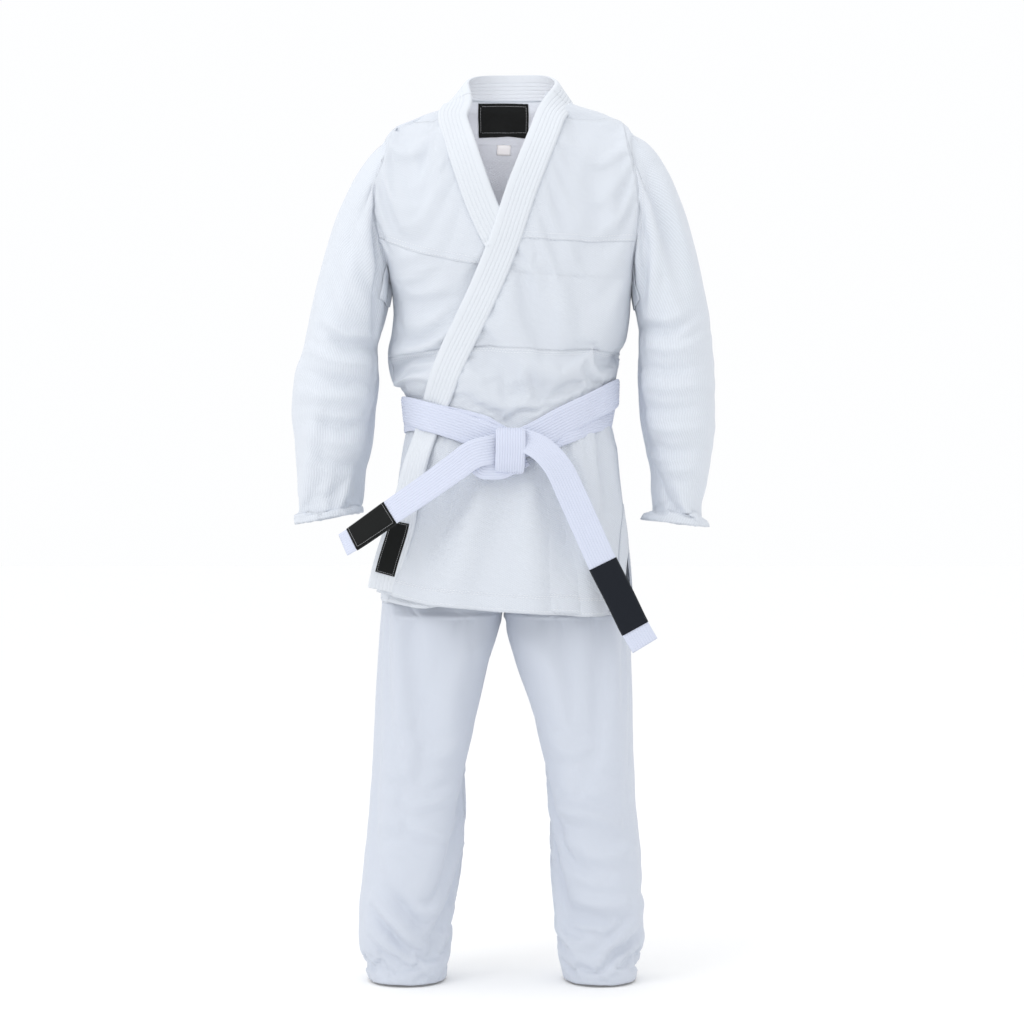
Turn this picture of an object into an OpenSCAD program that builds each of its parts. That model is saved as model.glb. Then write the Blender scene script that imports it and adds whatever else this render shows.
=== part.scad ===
// Martial arts uniform: wrap jacket, knotted belt and straight trousers, shaped as worn.
// Units are millimetres. +Z is up, the front faces -Y and the wearer's left is +X.
// The origin is the middle of the trousers' waistband. Heights below are above the hems.

/* [Cloth] */
// Thickness of the jacket's woven cloth
jacket_cloth = 2.4; // [1:0.1:4]
// Thickness of the trousers' cloth
trouser_cloth = 1.8; // [0.8:0.1:3]
// Thickness of a patch or hem band sewn on the cloth
patch_cloth = 1.4; // [0.6:0.1:3]
// Gap between two layers of cloth
layer_gap = 0.5; // [0.3:0.1:2]
// Gap under a band, patch or belt that lies on curved cloth
lay_gap = 1.6; // [1:0.1:3]

/* [Jacket] */
// Height of the jacket's hem
hem_h = 606; // [560:1:660]
// Height of the shoulder line beside the neck
neck_h = 1396; // [1330:1:1440]
// Half width of the jacket at its hem
hem_half = 206; // [180:1:240]
// Half depth of the jacket at its hem
hem_depth = 154; // [130:1:180]
// Half width of the jacket under the belt
waist_half = 168; // [150:1:200]
// Half depth of the jacket under the belt
waist_depth = 118; // [100:1:140]
// Half width of the jacket's chest below the armholes
chest_half = 186; // [160:1:210]
// Half depth of the jacket's chest
chest_depth = 138; // [110:1:160]
// Distance from the middle to each armhole seam
armhole_half = 194; // [170:1:215]
// Height of the seam between the chest panels and the skirt
seam_h = 1004; // [960:1:1030]
// Height where the side vents start
vent_h = 764; // [700:1:800]
// Roundness of the body's sections: 2 is an ellipse
body_round = 2.3; // [2:0.1:3]

/* [Collar] */
// Width of the padded collar band
collar_w = 46; // [35:1:60]
// Thickness of the padded collar band
collar_t = 7; // [4:0.5:10]
// Height of the standing band behind the neck
collar_stand = 52; // [40:1:65]

/* [Sleeves] */
// Thickness of the sleeve's cloth
sleeve_cloth = 2.2; // [1:0.1:4]
// Width of the stitched band at the cuff
cuff_w = 28; // [15:1:40]

/* [Belt] */
// Width of the belt
belt_w = 45; // [38:1:50]
// Thickness of the belt
belt_t = 4; // [2:0.5:6]
// Height of the belt at the wearer's back
belt_h = 922; // [880:1:960]
// How far the belt dips from the sides to the knot
belt_dip = 66; // [20:1:90]
// Height of the knot's middle
knot_h = 850; // [820:1:880]
// Width of the knot
knot_w = 54; // [40:1:70]
// Height of the knot
knot_tall = 62; // [45:1:80]
// Depth of the knot from back to front
knot_deep = 26; // [18:1:40]
// Length of the tail on the wearer's right
tail_right_l = 280; // [200:1:360]
// Length of the tail on the wearer's left
tail_left_l = 380; // [250:1:450]
// Length of the black bar on the wearer's right tail
bar_right_l = 77; // [50:1:120]
// Length of the black bar on the wearer's left tail
bar_left_l = 118; // [50:1:140]
// Length of plain belt past the bar on the wearer's right tail
tip_right_l = 15; // [5:1:50]
// Length of plain belt past the bar on the wearer's left tail
tip_left_l = 22; // [5:1:50]

/* [Trousers] */
// Height of the waistband's middle
waist_h = 866; // [820:1:900]
// Width of the waistband
waistband_w = 40; // [30:1:60]
// Half width of the waistband
waistband_half = 144; // [130:1:160]
// Half depth of the waistband
waistband_depth = 98; // [85:1:115]
// Height of the hinge line that the legs swing about
hip_h = 716; // [690:1:740]
// Height of the crotch
crotch_h = 586; // [560:1:620]
// Height where the calf part of a leg meets the knee part
knee_h = 300; // [270:1:330]
// Steepest angle that a leg swings to
leg_swing = 22; // [15:1:35]
// Height of the knee patch's lower edge
patch_low = 182; // [140:1:240]
// Height of the knee patch's upper edge
patch_high = 540; // [480:1:560]
// Width of the hem band at the ankle
hem_band = 30; // [15:1:45]

/* [Hidden] */
white = [0.93, 0.94, 0.96];
black = [0.08, 0.08, 0.09];

// Jacket body by height: half width, half depth, shift to the side, shift to the back.
body = [
  [hem_h - 6, hem_half, hem_depth, 0, 0],
  [690, 202, 148, 2, 0],
  [770, 190, 138, 5, 0],
  [850, 173, 124, 8, 0],
  [910, waist_half, waist_depth, 10, 0],
  [970, 172, 121, 11, 2],
  [1040, 179, 132, 14, 4],
  [1110, chest_half, chest_depth, 14, 4],
  [1180, 206, 137, 12, 4],
  [1250, 218, 129, 10, 5],
  [1310, 214, 112, 10, 6],
  [1340, 205, 96, 12, 8],
  [1356, 190, 84, 15, 9],
  [1377, 150, 68, 18, 11],
  [neck_h + 2, 101, 52, 16, 12],
  [1422, 90, 58, 12, 10],
  [1450, 84, 62, 8, 8]
];

// Middle of each lapel by height, as its distance to the side.
lapel_line = [
  [600, -198], [645, -190], [700, -175], [765, -154], [845, -126], [925, -102],
  [971, -86], [1024, -62], [1070, -41], [1165, 0], [1245, 28], [1305, 54],
  [1357, 78], [neck_h, 88], [1420, 98]
];

// Sleeve stations: outer edge (side, height), inner edge (side, height), half depth, shift.
arm = [
  [197, 1338, 197, 1122, 84, 10],
  [245, 1322, 201, 1106, 84, 12],
  [277, 1280, 205, 1092, 82, 13],
  [297, 1210, 208, 1078, 80, 12],
  [320, 1115, 212, 1060, 77, 9],
  [338, 1020, 212, 1010, 74, 4],
  [350, 945, 204, 955, 74, 0],
  [348, 880, 212, 890, 69, 0],
  [343, 815, 226, 825, 64, 0],
  [332, 730, 224, 748, 58, 0]
];

// Trouser leg by height: half width, half depth, distance of its middle from the centre.
leg = [
  [2, 60, 72, 153],
  [24, 64, 75, 155],
  [60, 67, 78, 157],
  [120, 70, 82, 154],
  [194, 74, 86, 148],
  [262, 72, 88, 143],
  [320, 70, 90, 139],
  [381, 74, 92, 132],
  [443, 83, 94, 122],
  [520, 92, 95, 111],
  [554, 94, 96, 105],
  [crotch_h, 93, 96, 101],
  [hip_h, 93, 96, 101]
];

// Hips of the trousers by height: half width, half depth, shift to the side.
hips = [
  [hip_h - 80, 180, 108, 2],
  [hip_h, 172, 106, 3],
  [waist_h - waistband_w / 2, waistband_half + 5, waistband_depth + 3, 6],
  [waist_h + waistband_w / 2, waistband_half, waistband_depth, 8]
];

under = 5;
under_deep = 7.5;
knot_x = 13;
knot_y = 149;
tail_y = 165;

function table(rows, at, k) = lookup(at, [for (r = rows) [r[0], r[k]]]);
function signed_pow(v, e) = sign(v) * pow(abs(v), e);
function steps(a, b, n) = [for (i = [0 : n]) a + (b - a) * i / n];
function blend(a, b, t) = a + (b - a) * max(0, min(1, t));
function to_frame(p) = [p[0], p[1], p[2] - waist_h];

// A point of the jacket's body: angle from the front towards the wearer's left, and height.
function body_point(angle, h, off) =
  let (
    a = table(body, h, 1) + off,
    b = table(body, h, 2) + off,
    e = 2 / body_round
  )
  [
    table(body, h, 3) + a * signed_pow(sin(angle), e),
    table(body, h, 4) - b * signed_pow(cos(angle), e),
    h
  ];

// The angle on the front at which the body reaches a distance to the side.
function side_angle(x, h) =
  let (s = (x - table(body, h, 3)) / table(body, h, 1))
  asin(signed_pow(max(-1, min(1, s)), body_round / 2));

// The armhole's edge angle, which is the side seam below the armhole.
function armhole_angle(h) =
  side_angle(table(body, h, 3) + armhole_half, h);

function lapel_angle(h) = side_angle(lookup(h, lapel_line), h);
function under_angle(h) = side_angle(2 * 7 - lookup(h, lapel_line), h);

// Depth of the under panel, which goes deeper where the over panel covers it.
function under_off(angle, h) =
  -blend(under, under_deep, (angle - lapel_angle(h) + 4) / 16);

// Closed sheet between an outer and an inner grid of points.
module sheet(outer, inner, wrap = false) {
  r = len(outer);
  c = len(outer[0]);
  n = r * c;
  w = wrap ? c : c - 1;
  points = [for (g = [outer, inner], row = g, p = row) to_frame(p)];
  faces = [
    for (i = [0 : r - 2], j = [0 : w - 1])
      let (k = (j + 1) % c, a = i * c + j, b = i * c + k, d = a + c, e = b + c)
      each [[a, e, b], [a, d, e], [n + a, n + b, n + e], [n + a, n + e, n + d]],
    for (j = [0 : w - 1])
      let (k = (j + 1) % c, a = j, b = k, d = (r - 1) * c + j, e = (r - 1) * c + k)
      each [[a, b, n + b], [a, n + b, n + a], [d, n + e, e], [d, n + d, n + e]],
    if (!wrap)
      for (i = [0 : r - 2])
        let (a = i * c, d = a + c, b = a + c - 1, e = b + c)
        each [[a, n + a, n + d], [a, n + d, d], [b, n + e, n + b], [b, e, n + e]]
  ];
  polyhedron(points = points, faces = faces, convexity = 8);
}

// Panel of the jacket's body between two edge angles, given for each height.
module body_panel(heights, from, to, columns, off, t) {
  sheet(
    [
      for (i = [0 : len(heights) - 1])
        [for (s = steps(from[i], to[i], columns)) body_point(s, heights[i], off)]
    ],
    [
      for (i = [0 : len(heights) - 1])
        [for (s = steps(from[i], to[i], columns)) body_point(s, heights[i], off - t)]
    ]
  );
}

// Under panel of the front, which steps inwards under the over panel.
module under_panel(heights, from, to, columns) {
  sheet(
    [
      for (i = [0 : len(heights) - 1])
        [
          for (s = steps(from[i], to[i], columns))
            body_point(s, heights[i], under_off(s, heights[i]))
        ]
    ],
    [
      for (i = [0 : len(heights) - 1])
        [
          for (s = steps(from[i], to[i], columns))
            body_point(s, heights[i], under_off(s, heights[i]) - jacket_cloth)
        ]
    ]
  );
}

// Band laid on the body along a line of heights and angles.
module body_band(heights, angles, w, off, t) {
  last = len(heights) - 1;
  rows = [
    for (i = [0 : last])
      let (
        lo = max(0, i - 1),
        hi = min(last, i + 1),
        p = body_point(angles[i] - 2, heights[i], 0),
        q = body_point(angles[i] + 2, heights[i], 0),
        arc = norm(q - p) / 4,
        ds = (angles[hi] - angles[lo]) * arc,
        dh = heights[hi] - heights[lo],
        l = norm([ds, dh])
      )
      [dh / l * w / 2 / arc, -ds / l * w / 2]
  ];
  sheet(
    [
      for (i = [0 : last])
        [
          for (s = [-1, 0, 1])
            body_point(angles[i] + s * rows[i][0], heights[i] + s * rows[i][1], off[i] + t)
        ]
    ],
    [
      for (i = [0 : last])
        [
          for (s = [-1, 0, 1])
            body_point(angles[i] + s * rows[i][0], heights[i] + s * rows[i][1], off[i])
        ]
    ]
  );
}

// A point of a sleeve: station from 0 at the shoulder to 9 at the cuff, angle around it.
function arm_point(side, s, angle, off) =
  let (
    k = [for (i = [0 : 5]) lookup(s, [for (j = [0 : 9]) [j, arm[j][i]]])],
    across = [k[0] - k[2], k[1] - k[3]],
    half = norm(across) / 2,
    u = across / norm(across),
    e = 2 / 2.2,
    a = (half + off) * signed_pow(cos(angle), e),
    x = (k[0] + k[2]) / 2 + a * u[0],
    h = (k[1] + k[3]) / 2 + a * u[1],
    y = 6 + side * (k[4] + off) * signed_pow(sin(angle), e)
  )
  [side * x + k[5], y, h];

module arm_tube(side, stations, columns, off, t) {
  angles = [for (i = [0 : columns - 1]) 360 * i / columns];
  sheet(
    [for (s = stations) [for (g = angles) arm_point(side, s, g, off)]],
    [for (s = stations) [for (g = angles) arm_point(side, s, g, off - t)]],
    true
  );
}

// A point of a leg: angle 0 is its outer side and 90 is its back.
function leg_point(side, h, angle, off) =
  let (
    e = 2 / 2.2,
    a = table(leg, h, 1) + off,
    b = table(leg, h, 2) + off
  )
  [
    side * (table(leg, h, 3) + a * signed_pow(cos(angle), e)),
    side * b * signed_pow(sin(angle), e),
    h
  ];

// A point of the trousers' hips: angle from the front towards the wearer's left.
function hip_point(angle, h, off) =
  let (e = 2 / 2.2)
  [
    table(hips, h, 3) + (table(hips, h, 1) + off) * signed_pow(sin(angle), e),
    -(table(hips, h, 2) + off) * signed_pow(cos(angle), e),
    h
  ];

// A point of the thigh, which runs from a whole leg at the crotch to half of the hips.
function thigh_point(side, u, v, off) =
  let (
    p = leg_point(side, crotch_h + 1, u * 152, off),
    q = [
      side * (18 + (158 + off) * signed_pow(cos(u * 90), 0.91)),
      side * (96 + off) * signed_pow(sin(u * 90), 0.91),
      0
    ],
    top = hip_h - 7 - abs(q[1]) * tan(leg_swing),
    h = crotch_h + 1 + (top - crotch_h - 1) * v
  )
  [blend(p[0], q[0], v), blend(p[1], q[1], v), h];

module hip_panel(from, to, columns) {
  heights = steps(hip_h, waist_h - waistband_w / 2 - layer_gap, 4);
  sheet(
    [for (h = heights) [for (s = steps(from, to, columns)) hip_point(s, h, 0)]],
    [for (h = heights) [for (s = steps(from, to, columns)) hip_point(s, h, -trouser_cloth)]]
  );
}

module leg_tube(side, heights, columns, off, t) {
  angles = [for (i = [0 : columns - 1]) 360 * i / columns];
  sheet(
    [for (h = heights) [for (g = angles) leg_point(side, h, g, off)]],
    [for (h = heights) [for (g = angles) leg_point(side, h, g, off - t)]],
    true
  );
}

module leg_patch(side) {
  heights = steps(patch_low, patch_high, 6);
  angles = steps(-150, -30, 10);
  turned = side > 0 ? angles : [for (a = angles) -a];
  off = lay_gap + patch_cloth;
  sheet(
    [for (h = heights) [for (g = turned) leg_point(side, h, g, off)]],
    [for (h = heights) [for (g = turned) leg_point(side, h, g, lay_gap)]]
  );
}

module thigh(side) {
  columns = steps(-1, 1, 16);
  rows = steps(0, 1, 4);
  sheet(
    [for (v = rows) [for (u = columns) thigh_point(side, u, v, 0)]],
    [for (v = rows) [for (u = columns) thigh_point(side, u, v, -trouser_cloth)]]
  );
}

module waistband() {
  color(white) {
    angles = [for (i = [0 : 31]) 360 * i / 32];
    heights = [waist_h - waistband_w / 2, waist_h, waist_h + waistband_w / 2];
    sheet(
      [for (h = heights) [for (g = angles) hip_point(g, h, 0)]],
      [for (h = heights) [for (g = angles) hip_point(g, h, -2 * trouser_cloth)]],
      true
    );
  }
}

module seat_front() {
  color(white) hip_panel(-89.8, 89.8, 16);
}

module seat_back() {
  color(white) hip_panel(90.2, 269.8, 16);
}

// Strip under the crotch, between the two legs, from the front seam to the back seam.
module crotch_gusset() {
  line = [
    [-104, hip_h - layer_gap], [-102, 670], [-88, 630], [-60, 604], [-24, 590],
    [24, 590], [60, 604], [88, 630], [102, 670], [104, hip_h - layer_gap]
  ];
  color(white)
    translate([12, 0, -waist_h])
      rotate([90, 0, -90])
        linear_extrude(height = 24)
          polygon(concat(
            [for (p = line) [-p[0], p[1]]],
            [for (i = [9 : -1 : 0]) [-line[i][0] * 0.975, line[i][1] + (i > 0 && i < 9 ? 2 : 0)]]
          ));
}

// Heights of the leg's sections between two levels.
function leg_rows(low, high) =
  concat([low], [for (r = leg) if (r[0] > low && r[0] < high) r[0]], [high]);

module leg_left() {
  color(white) leg_tube(1, leg_rows(2, knee_h), 24, 0, trouser_cloth);
}

module leg_right() {
  color(white) leg_tube(-1, leg_rows(2, knee_h), 24, 0, trouser_cloth);
}

module knee_left() {
  color(white) leg_tube(1, leg_rows(knee_h + layer_gap, crotch_h), 24, 0, trouser_cloth);
}

module knee_right() {
  color(white) leg_tube(-1, leg_rows(knee_h + layer_gap, crotch_h), 24, 0, trouser_cloth);
}

module thigh_left() {
  color(white) thigh(1);
}

module thigh_right() {
  color(white) thigh(-1);
}

module knee_patch_left() {
  color(white) leg_patch(1);
}

module knee_patch_right() {
  color(white) leg_patch(-1);
}

module hem_left() {
  color(white)
    leg_tube(1, [2, 16, 2 + hem_band], 24, layer_gap + patch_cloth, patch_cloth);
}

module hem_right() {
  color(white)
    leg_tube(-1, [2, 16, 2 + hem_band], 24, layer_gap + patch_cloth, patch_cloth);
}

// Back of the jacket from the belt line up to the neck, with the armholes cut to each side.
module jacket_back() {
  heights = [seam_h, 1040, 1110, 1150, 1180, 1215, 1250, 1280, 1310, 1340, 1356, 1377, neck_h];
  color(white)
    body_panel(
      heights,
      [for (h = heights) 180.2 - armhole_angle(h)],
      [for (h = heights) 179.8 + armhole_angle(h)],
      18, 0, jacket_cloth
    );
}

// Over panel of the front, on the wearer's left.
module chest_left() {
  heights = [seam_h, 1040, 1110, 1150, 1180, 1215, 1250, 1280, 1310, 1340, 1356, 1377, neck_h];
  color(white)
    body_panel(
      heights,
      [for (h = heights) lapel_angle(h)],
      [for (h = heights) armhole_angle(h) - 0.2],
      12, 0, jacket_cloth
    );
}

// Under panel of the front, on the wearer's right.
module chest_right() {
  heights = [seam_h, 1040, 1110, 1150, 1180, 1215, 1250, 1280, 1310, 1340, 1356, 1377, neck_h];
  color(white)
    under_panel(
      heights,
      [for (h = heights) 0.2 - armhole_angle(h)],
      [for (h = heights) min(under_angle(h), armhole_angle(h) - 8)],
      14
    );
}

module skirt_back() {
  heights = [hem_h, 650, 700, 764, 806, 850, 907, 950, seam_h - 0.5];
  color(white)
    body_panel(
      heights,
      [for (h = heights) 90.3],
      [for (h = heights) 269.7],
      16, 0, jacket_cloth
    );
}

module skirt_left() {
  heights = [hem_h, 650, 700, 764, 806, 850, 907, 950, seam_h - 0.5];
  color(white)
    body_panel(
      heights,
      [for (h = heights) lapel_angle(h)],
      [for (h = heights) 89.7],
      14, 0, jacket_cloth
    );
}

module skirt_right() {
  heights = [hem_h, 650, 700, 764, 806, 850, 907, 950, seam_h - 0.5];
  color(white)
    under_panel(
      heights,
      [for (h = heights) -89.7],
      [for (h = heights) min(under_angle(h), 66)],
      14
    );
}

// Padded band along the over panel's edge, from the hem to the side of the neck.
module lapel_left() {
  heights = [
    626, 660, 700, 765, 845, 925, 990, 1032, 1070, 1120, 1165, 1205, 1245, 1280, 1310,
    1336, 1357, 1376, 1392
  ];
  color(white)
    body_band(
      heights,
      [for (h = heights) lapel_angle(h)],
      collar_w,
      [for (h = heights) lay_gap],
      collar_t
    );
}

// Padded band along the under panel's edge, down to where the over panel covers it.
module lapel_right() {
  heights = [1252, 1275, 1295, 1315, 1336, 1357, 1376, 1392];
  color(white)
    body_band(
      heights,
      [for (h = heights) under_angle(h)],
      collar_w,
      [for (h = heights) -under + 2 * lay_gap],
      collar_t
    );
}

// Height of the standing band, which falls towards the sides of the neck.
function stand(angle) = collar_stand - 20 * pow((angle - 180) / 76, 2);

// Standing band around the back of the neck.
module collar_neck() {
  angles = steps(104, 256, 18);
  low = neck_h + 1;
  color(white)
    sheet(
      [
        for (t = [0, 0.5, 1])
          [
            for (s = angles)
              body_point(s, low + t * stand(s), collar_t / 2)
          ]
      ],
      [
        for (t = [0, 0.5, 1])
          [
            for (s = angles)
              body_point(s, low + t * stand(s), -collar_t / 2)
          ]
      ]
    );
}

// Plain black label inside the back of the neck.
module neck_label() {
  color(black)
    body_panel([1346, 1362, 1378, 1392], [for (i = [0 : 3]) 200], [for (i = [0 : 3]) 160], 6,
      -jacket_cloth - layer_gap, patch_cloth);
}

// Small blank tag below the label.
module size_tag() {
  color(white)
    body_panel([1328, 1344], [184, 184], [176, 176], 2, -jacket_cloth - layer_gap, patch_cloth);
}

// Black patch on the lower end of the over lapel.
module lapel_patch() {
  heights = [652, 680, 708, 728];
  color(black)
    body_band(
      heights,
      [for (h = heights) lapel_angle(h)],
      collar_w - 12,
      [for (h = heights) 2 * lay_gap + collar_t],
      patch_cloth
    );
}

// Reinforcing layer over the shoulder and chest.
module yoke_left() {
  heights = [1170, 1215, 1250, 1280, 1310, 1340, 1356];
  color(white)
    body_panel(
      heights,
      [for (h = heights) lapel_angle(h) + 34],
      [for (h = heights) armhole_angle(h) - 1],
      8, lay_gap + patch_cloth, patch_cloth
    );
}

module yoke_right() {
  heights = [1170, 1215, 1250, 1280, 1310, 1340, 1356];
  color(white)
    body_panel(
      heights,
      [for (h = heights) 1 - armhole_angle(h)],
      [for (h = heights) -lapel_angle(max(h, 1250)) - 34],
      8, -under + lay_gap + patch_cloth, patch_cloth
    );
}

// Strip that finishes one edge of a side vent.
module vent_strip(from, to, off) {
  heights = [hem_h + 1, 660, 710, vent_h];
  color(white)
    body_panel(heights, [for (h = heights) from], [for (h = heights) to], 3,
      off, patch_cloth);
}

module vent_front_left() {
  vent_strip(78, 89.5, lay_gap + patch_cloth);
}

module vent_back_left() {
  vent_strip(90.5, 102, lay_gap + patch_cloth);
}

module vent_front_right() {
  vent_strip(-78, -89.5, -under - jacket_cloth - lay_gap);
}

module vent_back_right() {
  vent_strip(258, 269.5, lay_gap + patch_cloth);
}

// One turn of the belt around the jacket, dipping to the knot in front.
module belt_turn(off, dip, drop) {
  angles = [for (i = [0 : 39]) 9 * i];
  middle = [
    for (s = angles)
      belt_h - drop * max(0, cos(s)) - (cos(s) > 0 ? dip * (1 - abs(sin(s))) : 0)
  ];
  color(white)
    sheet(
      [
        for (v = [-0.5, 0, 0.5])
          [for (i = [0 : 39]) body_point(angles[i], middle[i] + v * belt_w, off + belt_t)]
      ],
      [
        for (v = [-0.5, 0, 0.5])
          [for (i = [0 : 39]) body_point(angles[i], middle[i] + v * belt_w, off)]
      ],
      true
    );
}

module belt_inner() {
  belt_turn(collar_t + 2 * lay_gap, belt_dip - 4, 14);
}

module belt_outer() {
  belt_turn(collar_t + 3 * lay_gap + belt_t, belt_dip, 0);
}

// The knot: a flat pad of crossed belt in front of both turns.
module belt_knot() {
  w = knot_w / 2;
  h = knot_tall / 2;
  color(white)
    translate([knot_x, -knot_y, knot_h - waist_h])
      rotate([90, 0, 0])
        linear_extrude(height = knot_deep)
          polygon([
            [-w, -h + 10], [-w + 8, -h], [w - 8, -h + 4], [w, -h + 16],
            [w, h - 8], [w - 10, h], [-w + 8, h - 6], [-w, h - 16]
          ]);
}

// Folded loop of belt under the knot, on the wearer's right.
module knot_loop() {
  color(white)
    translate([0, -knot_y, -waist_h])
      rotate([90, 0, 0])
        linear_extrude(height = 9)
          polygon([[-46, 826], [-14.5, 822], [-14.5, 812], [-20, 800], [-28, 804]]);
}

// A straight length of belt from a top corner, hanging in front of the skirt.
module tail_outline(from, angle, l, w) {
  translate(from) rotate(angle) translate([0, -w / 2]) square([l, w]);
}

module tail(from, angle, l) {
  color(white)
    translate([0, -tail_y, -waist_h])
      rotate([90, 0, 0])
        linear_extrude(height = belt_t) tail_outline(from, angle, l, belt_w);
}

// Black sleeve sewn around a tail near its end.
module tail_bar(from, angle, l, bar, tip) {
  spare = 0.1;
  wrap = 0.9;
  color(black)
    difference() {
      translate([0, -tail_y + wrap, -waist_h])
        rotate([90, 0, 0])
          linear_extrude(height = belt_t + 2 * wrap)
            translate(from)
              rotate(angle)
                translate([l - tip - bar, -belt_w / 2 - wrap])
                  square([bar, belt_w + 2 * wrap]);
      translate([0, -tail_y + spare, -waist_h])
        rotate([90, 0, 0])
          linear_extrude(height = belt_t + 2 * spare)
            tail_outline(from, angle, l, belt_w + 2 * spare);
    }
}

module tail_left() {
  tail([62, 838], -62, tail_left_l - 30);
}

module bar_left() {
  tail_bar([62, 838], -62, tail_left_l - 30, bar_left_l, tip_left_l);
}

module tail_right() {
  tail([-28, 828], 210, tail_right_l - 10);
}

module bar_right() {
  tail_bar([-28, 828], 210, tail_right_l - 10, bar_right_l, tip_right_l);
}

module sleeve_left() {
  color(white) arm_tube(1, [0, 1, 2, 3, 4, 5], 24, 0, sleeve_cloth);
}

module sleeve_right() {
  color(white) arm_tube(-1, [0, 1, 2, 3, 4, 5], 24, 0, sleeve_cloth);
}

// Lower part of a sleeve, from the elbow to the cuff.
module forearm_left() {
  color(white) arm_tube(1, [5.01, 6, 7, 8, 9], 24, 0, sleeve_cloth);
}

module forearm_right() {
  color(white) arm_tube(-1, [5.01, 6, 7, 8, 9], 24, 0, sleeve_cloth);
}

module cuff_left() {
  color(white)
    arm_tube(1, [9 - cuff_w / 80, 8.85, 9], 24, layer_gap + patch_cloth, patch_cloth);
}

module cuff_right() {
  color(white)
    arm_tube(-1, [9 - cuff_w / 80, 8.85, 9], 24, layer_gap + patch_cloth, patch_cloth);
}

// Reinforcing piece under the arm.
module underarm(side) {
  stations = [0.3, 1, 2, 3, 4];
  angles = steps(140, 220, 8);
  off = lay_gap + patch_cloth;
  color(white)
    sheet(
      [for (s = stations) [for (g = angles) arm_point(side, s, g, off)]],
      [for (s = stations) [for (g = angles) arm_point(side, s, g, lay_gap)]]
    );
}

module gusset_left() {
  underarm(1);
}

module gusset_right() {
  underarm(-1);
}

waistband();
seat_front();
seat_back();
crotch_gusset();
leg_left();
knee_left();
thigh_left();
knee_patch_left();
hem_left();
leg_right();
knee_right();
thigh_right();
knee_patch_right();
hem_right();
jacket_back();
chest_left();
chest_right();
skirt_back();
skirt_left();
skirt_right();
lapel_left();
lapel_right();
collar_neck();
neck_label();
size_tag();
lapel_patch();
yoke_left();
yoke_right();
vent_front_left();
vent_back_left();
vent_front_right();
vent_back_right();
belt_inner();
belt_outer();
belt_knot();
knot_loop();
sleeve_left();
forearm_left();
cuff_left();
gusset_left();
sleeve_right();
forearm_right();
cuff_right();
gusset_right();
tail_left();
bar_left();
tail_right();
bar_right();
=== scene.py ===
"""Martial arts uniform: wrap jacket, knotted belt and straight trousers, as worn.

Lengths in this script are millimetres, and heights are above the trouser hems.
"""

import math

import bpy
import numpy as np
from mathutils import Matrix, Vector
from mathutils.kdtree import KDTree


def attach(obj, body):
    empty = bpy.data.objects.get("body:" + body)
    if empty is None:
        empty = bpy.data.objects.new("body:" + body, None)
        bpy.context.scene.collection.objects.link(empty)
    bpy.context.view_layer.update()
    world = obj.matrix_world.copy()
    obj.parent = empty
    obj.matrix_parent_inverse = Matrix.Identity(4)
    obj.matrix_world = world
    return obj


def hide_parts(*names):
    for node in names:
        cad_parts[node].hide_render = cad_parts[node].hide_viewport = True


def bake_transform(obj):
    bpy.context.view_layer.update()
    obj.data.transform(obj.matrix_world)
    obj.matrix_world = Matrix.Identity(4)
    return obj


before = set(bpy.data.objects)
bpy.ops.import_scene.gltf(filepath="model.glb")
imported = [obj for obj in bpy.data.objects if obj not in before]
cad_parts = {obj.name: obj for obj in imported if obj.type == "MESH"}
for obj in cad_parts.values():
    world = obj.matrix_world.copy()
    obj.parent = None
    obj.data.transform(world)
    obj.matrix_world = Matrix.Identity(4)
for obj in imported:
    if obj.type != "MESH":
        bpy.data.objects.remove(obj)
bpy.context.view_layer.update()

WAIST = 866.0
TUBE_ROUND = 2 / 2.15  # exponent of the sections of sleeves and legs
FACING = np.array([0.0, -1.0, 0.0])


# ---------------------------------------------------------------- numbers


def smooth(rows):
    """A function through rows of numbers by their first column, without overshoot."""
    t = np.array(rows, float)
    t = t[np.argsort(t[:, 0])]
    x, y = t[:, 0], t[:, 1:]
    d = np.diff(y, axis=0) / np.diff(x)[:, None]
    m = np.zeros_like(y)
    m[0], m[-1] = d[0], d[-1]
    a, b = d[:-1], d[1:]
    m[1:-1] = np.where(a * b > 0, 2 * a * b / np.where(a * b > 0, a + b, 1), 0)

    def at(q):
        q = np.asarray(q, float)
        i = np.clip(np.searchsorted(x, q) - 1, 0, len(x) - 2)
        w = x[i + 1] - x[i]
        s = np.clip((q - x[i]) / w, 0, 1)[..., None]
        w = w[..., None]
        return (
            y[i] * (2 * s**3 - 3 * s**2 + 1)
            + y[i + 1] * (3 * s**2 - 2 * s**3)
            + m[i] * w * (s**3 - 2 * s**2 + s)
            + m[i + 1] * w * (s**3 - s**2)
        )

    return at


def power(v, e):
    """A power of the size that keeps the sign."""
    return np.sign(v) * np.abs(v) ** e


def ease(t):
    """A soft step from 0 to 1."""
    t = np.clip(t, 0, 1)
    return t * t * (3 - 2 * t)


def unit(v):
    return v / np.maximum(np.linalg.norm(v, axis=-1, keepdims=True), 1e-9)


def normals(p, wrap=False):
    """Unit normals of a grid of points, columns crossed with rows."""
    if wrap:
        q = np.concatenate([p[:, -1:], p, p[:, :1]], axis=1)
        du = (q[:, 2:] - q[:, :-2]) / 2
    else:
        du = np.gradient(p, axis=1)
    dv = np.gradient(p, axis=0)
    return unit(np.cross(du, dv))


def lengths(p):
    """Distances along a line of points, from its start."""
    return np.concatenate([[0], np.cumsum(np.linalg.norm(np.diff(p, axis=0), axis=1))])


def resample(p, n):
    """n points evenly spaced along a line of points."""
    p = np.asarray(p, float)
    s = lengths(p)
    q = np.linspace(0, s[-1], n)
    return np.stack([np.interp(q, s, p[:, k]) for k in range(p.shape[1])], axis=1)


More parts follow.
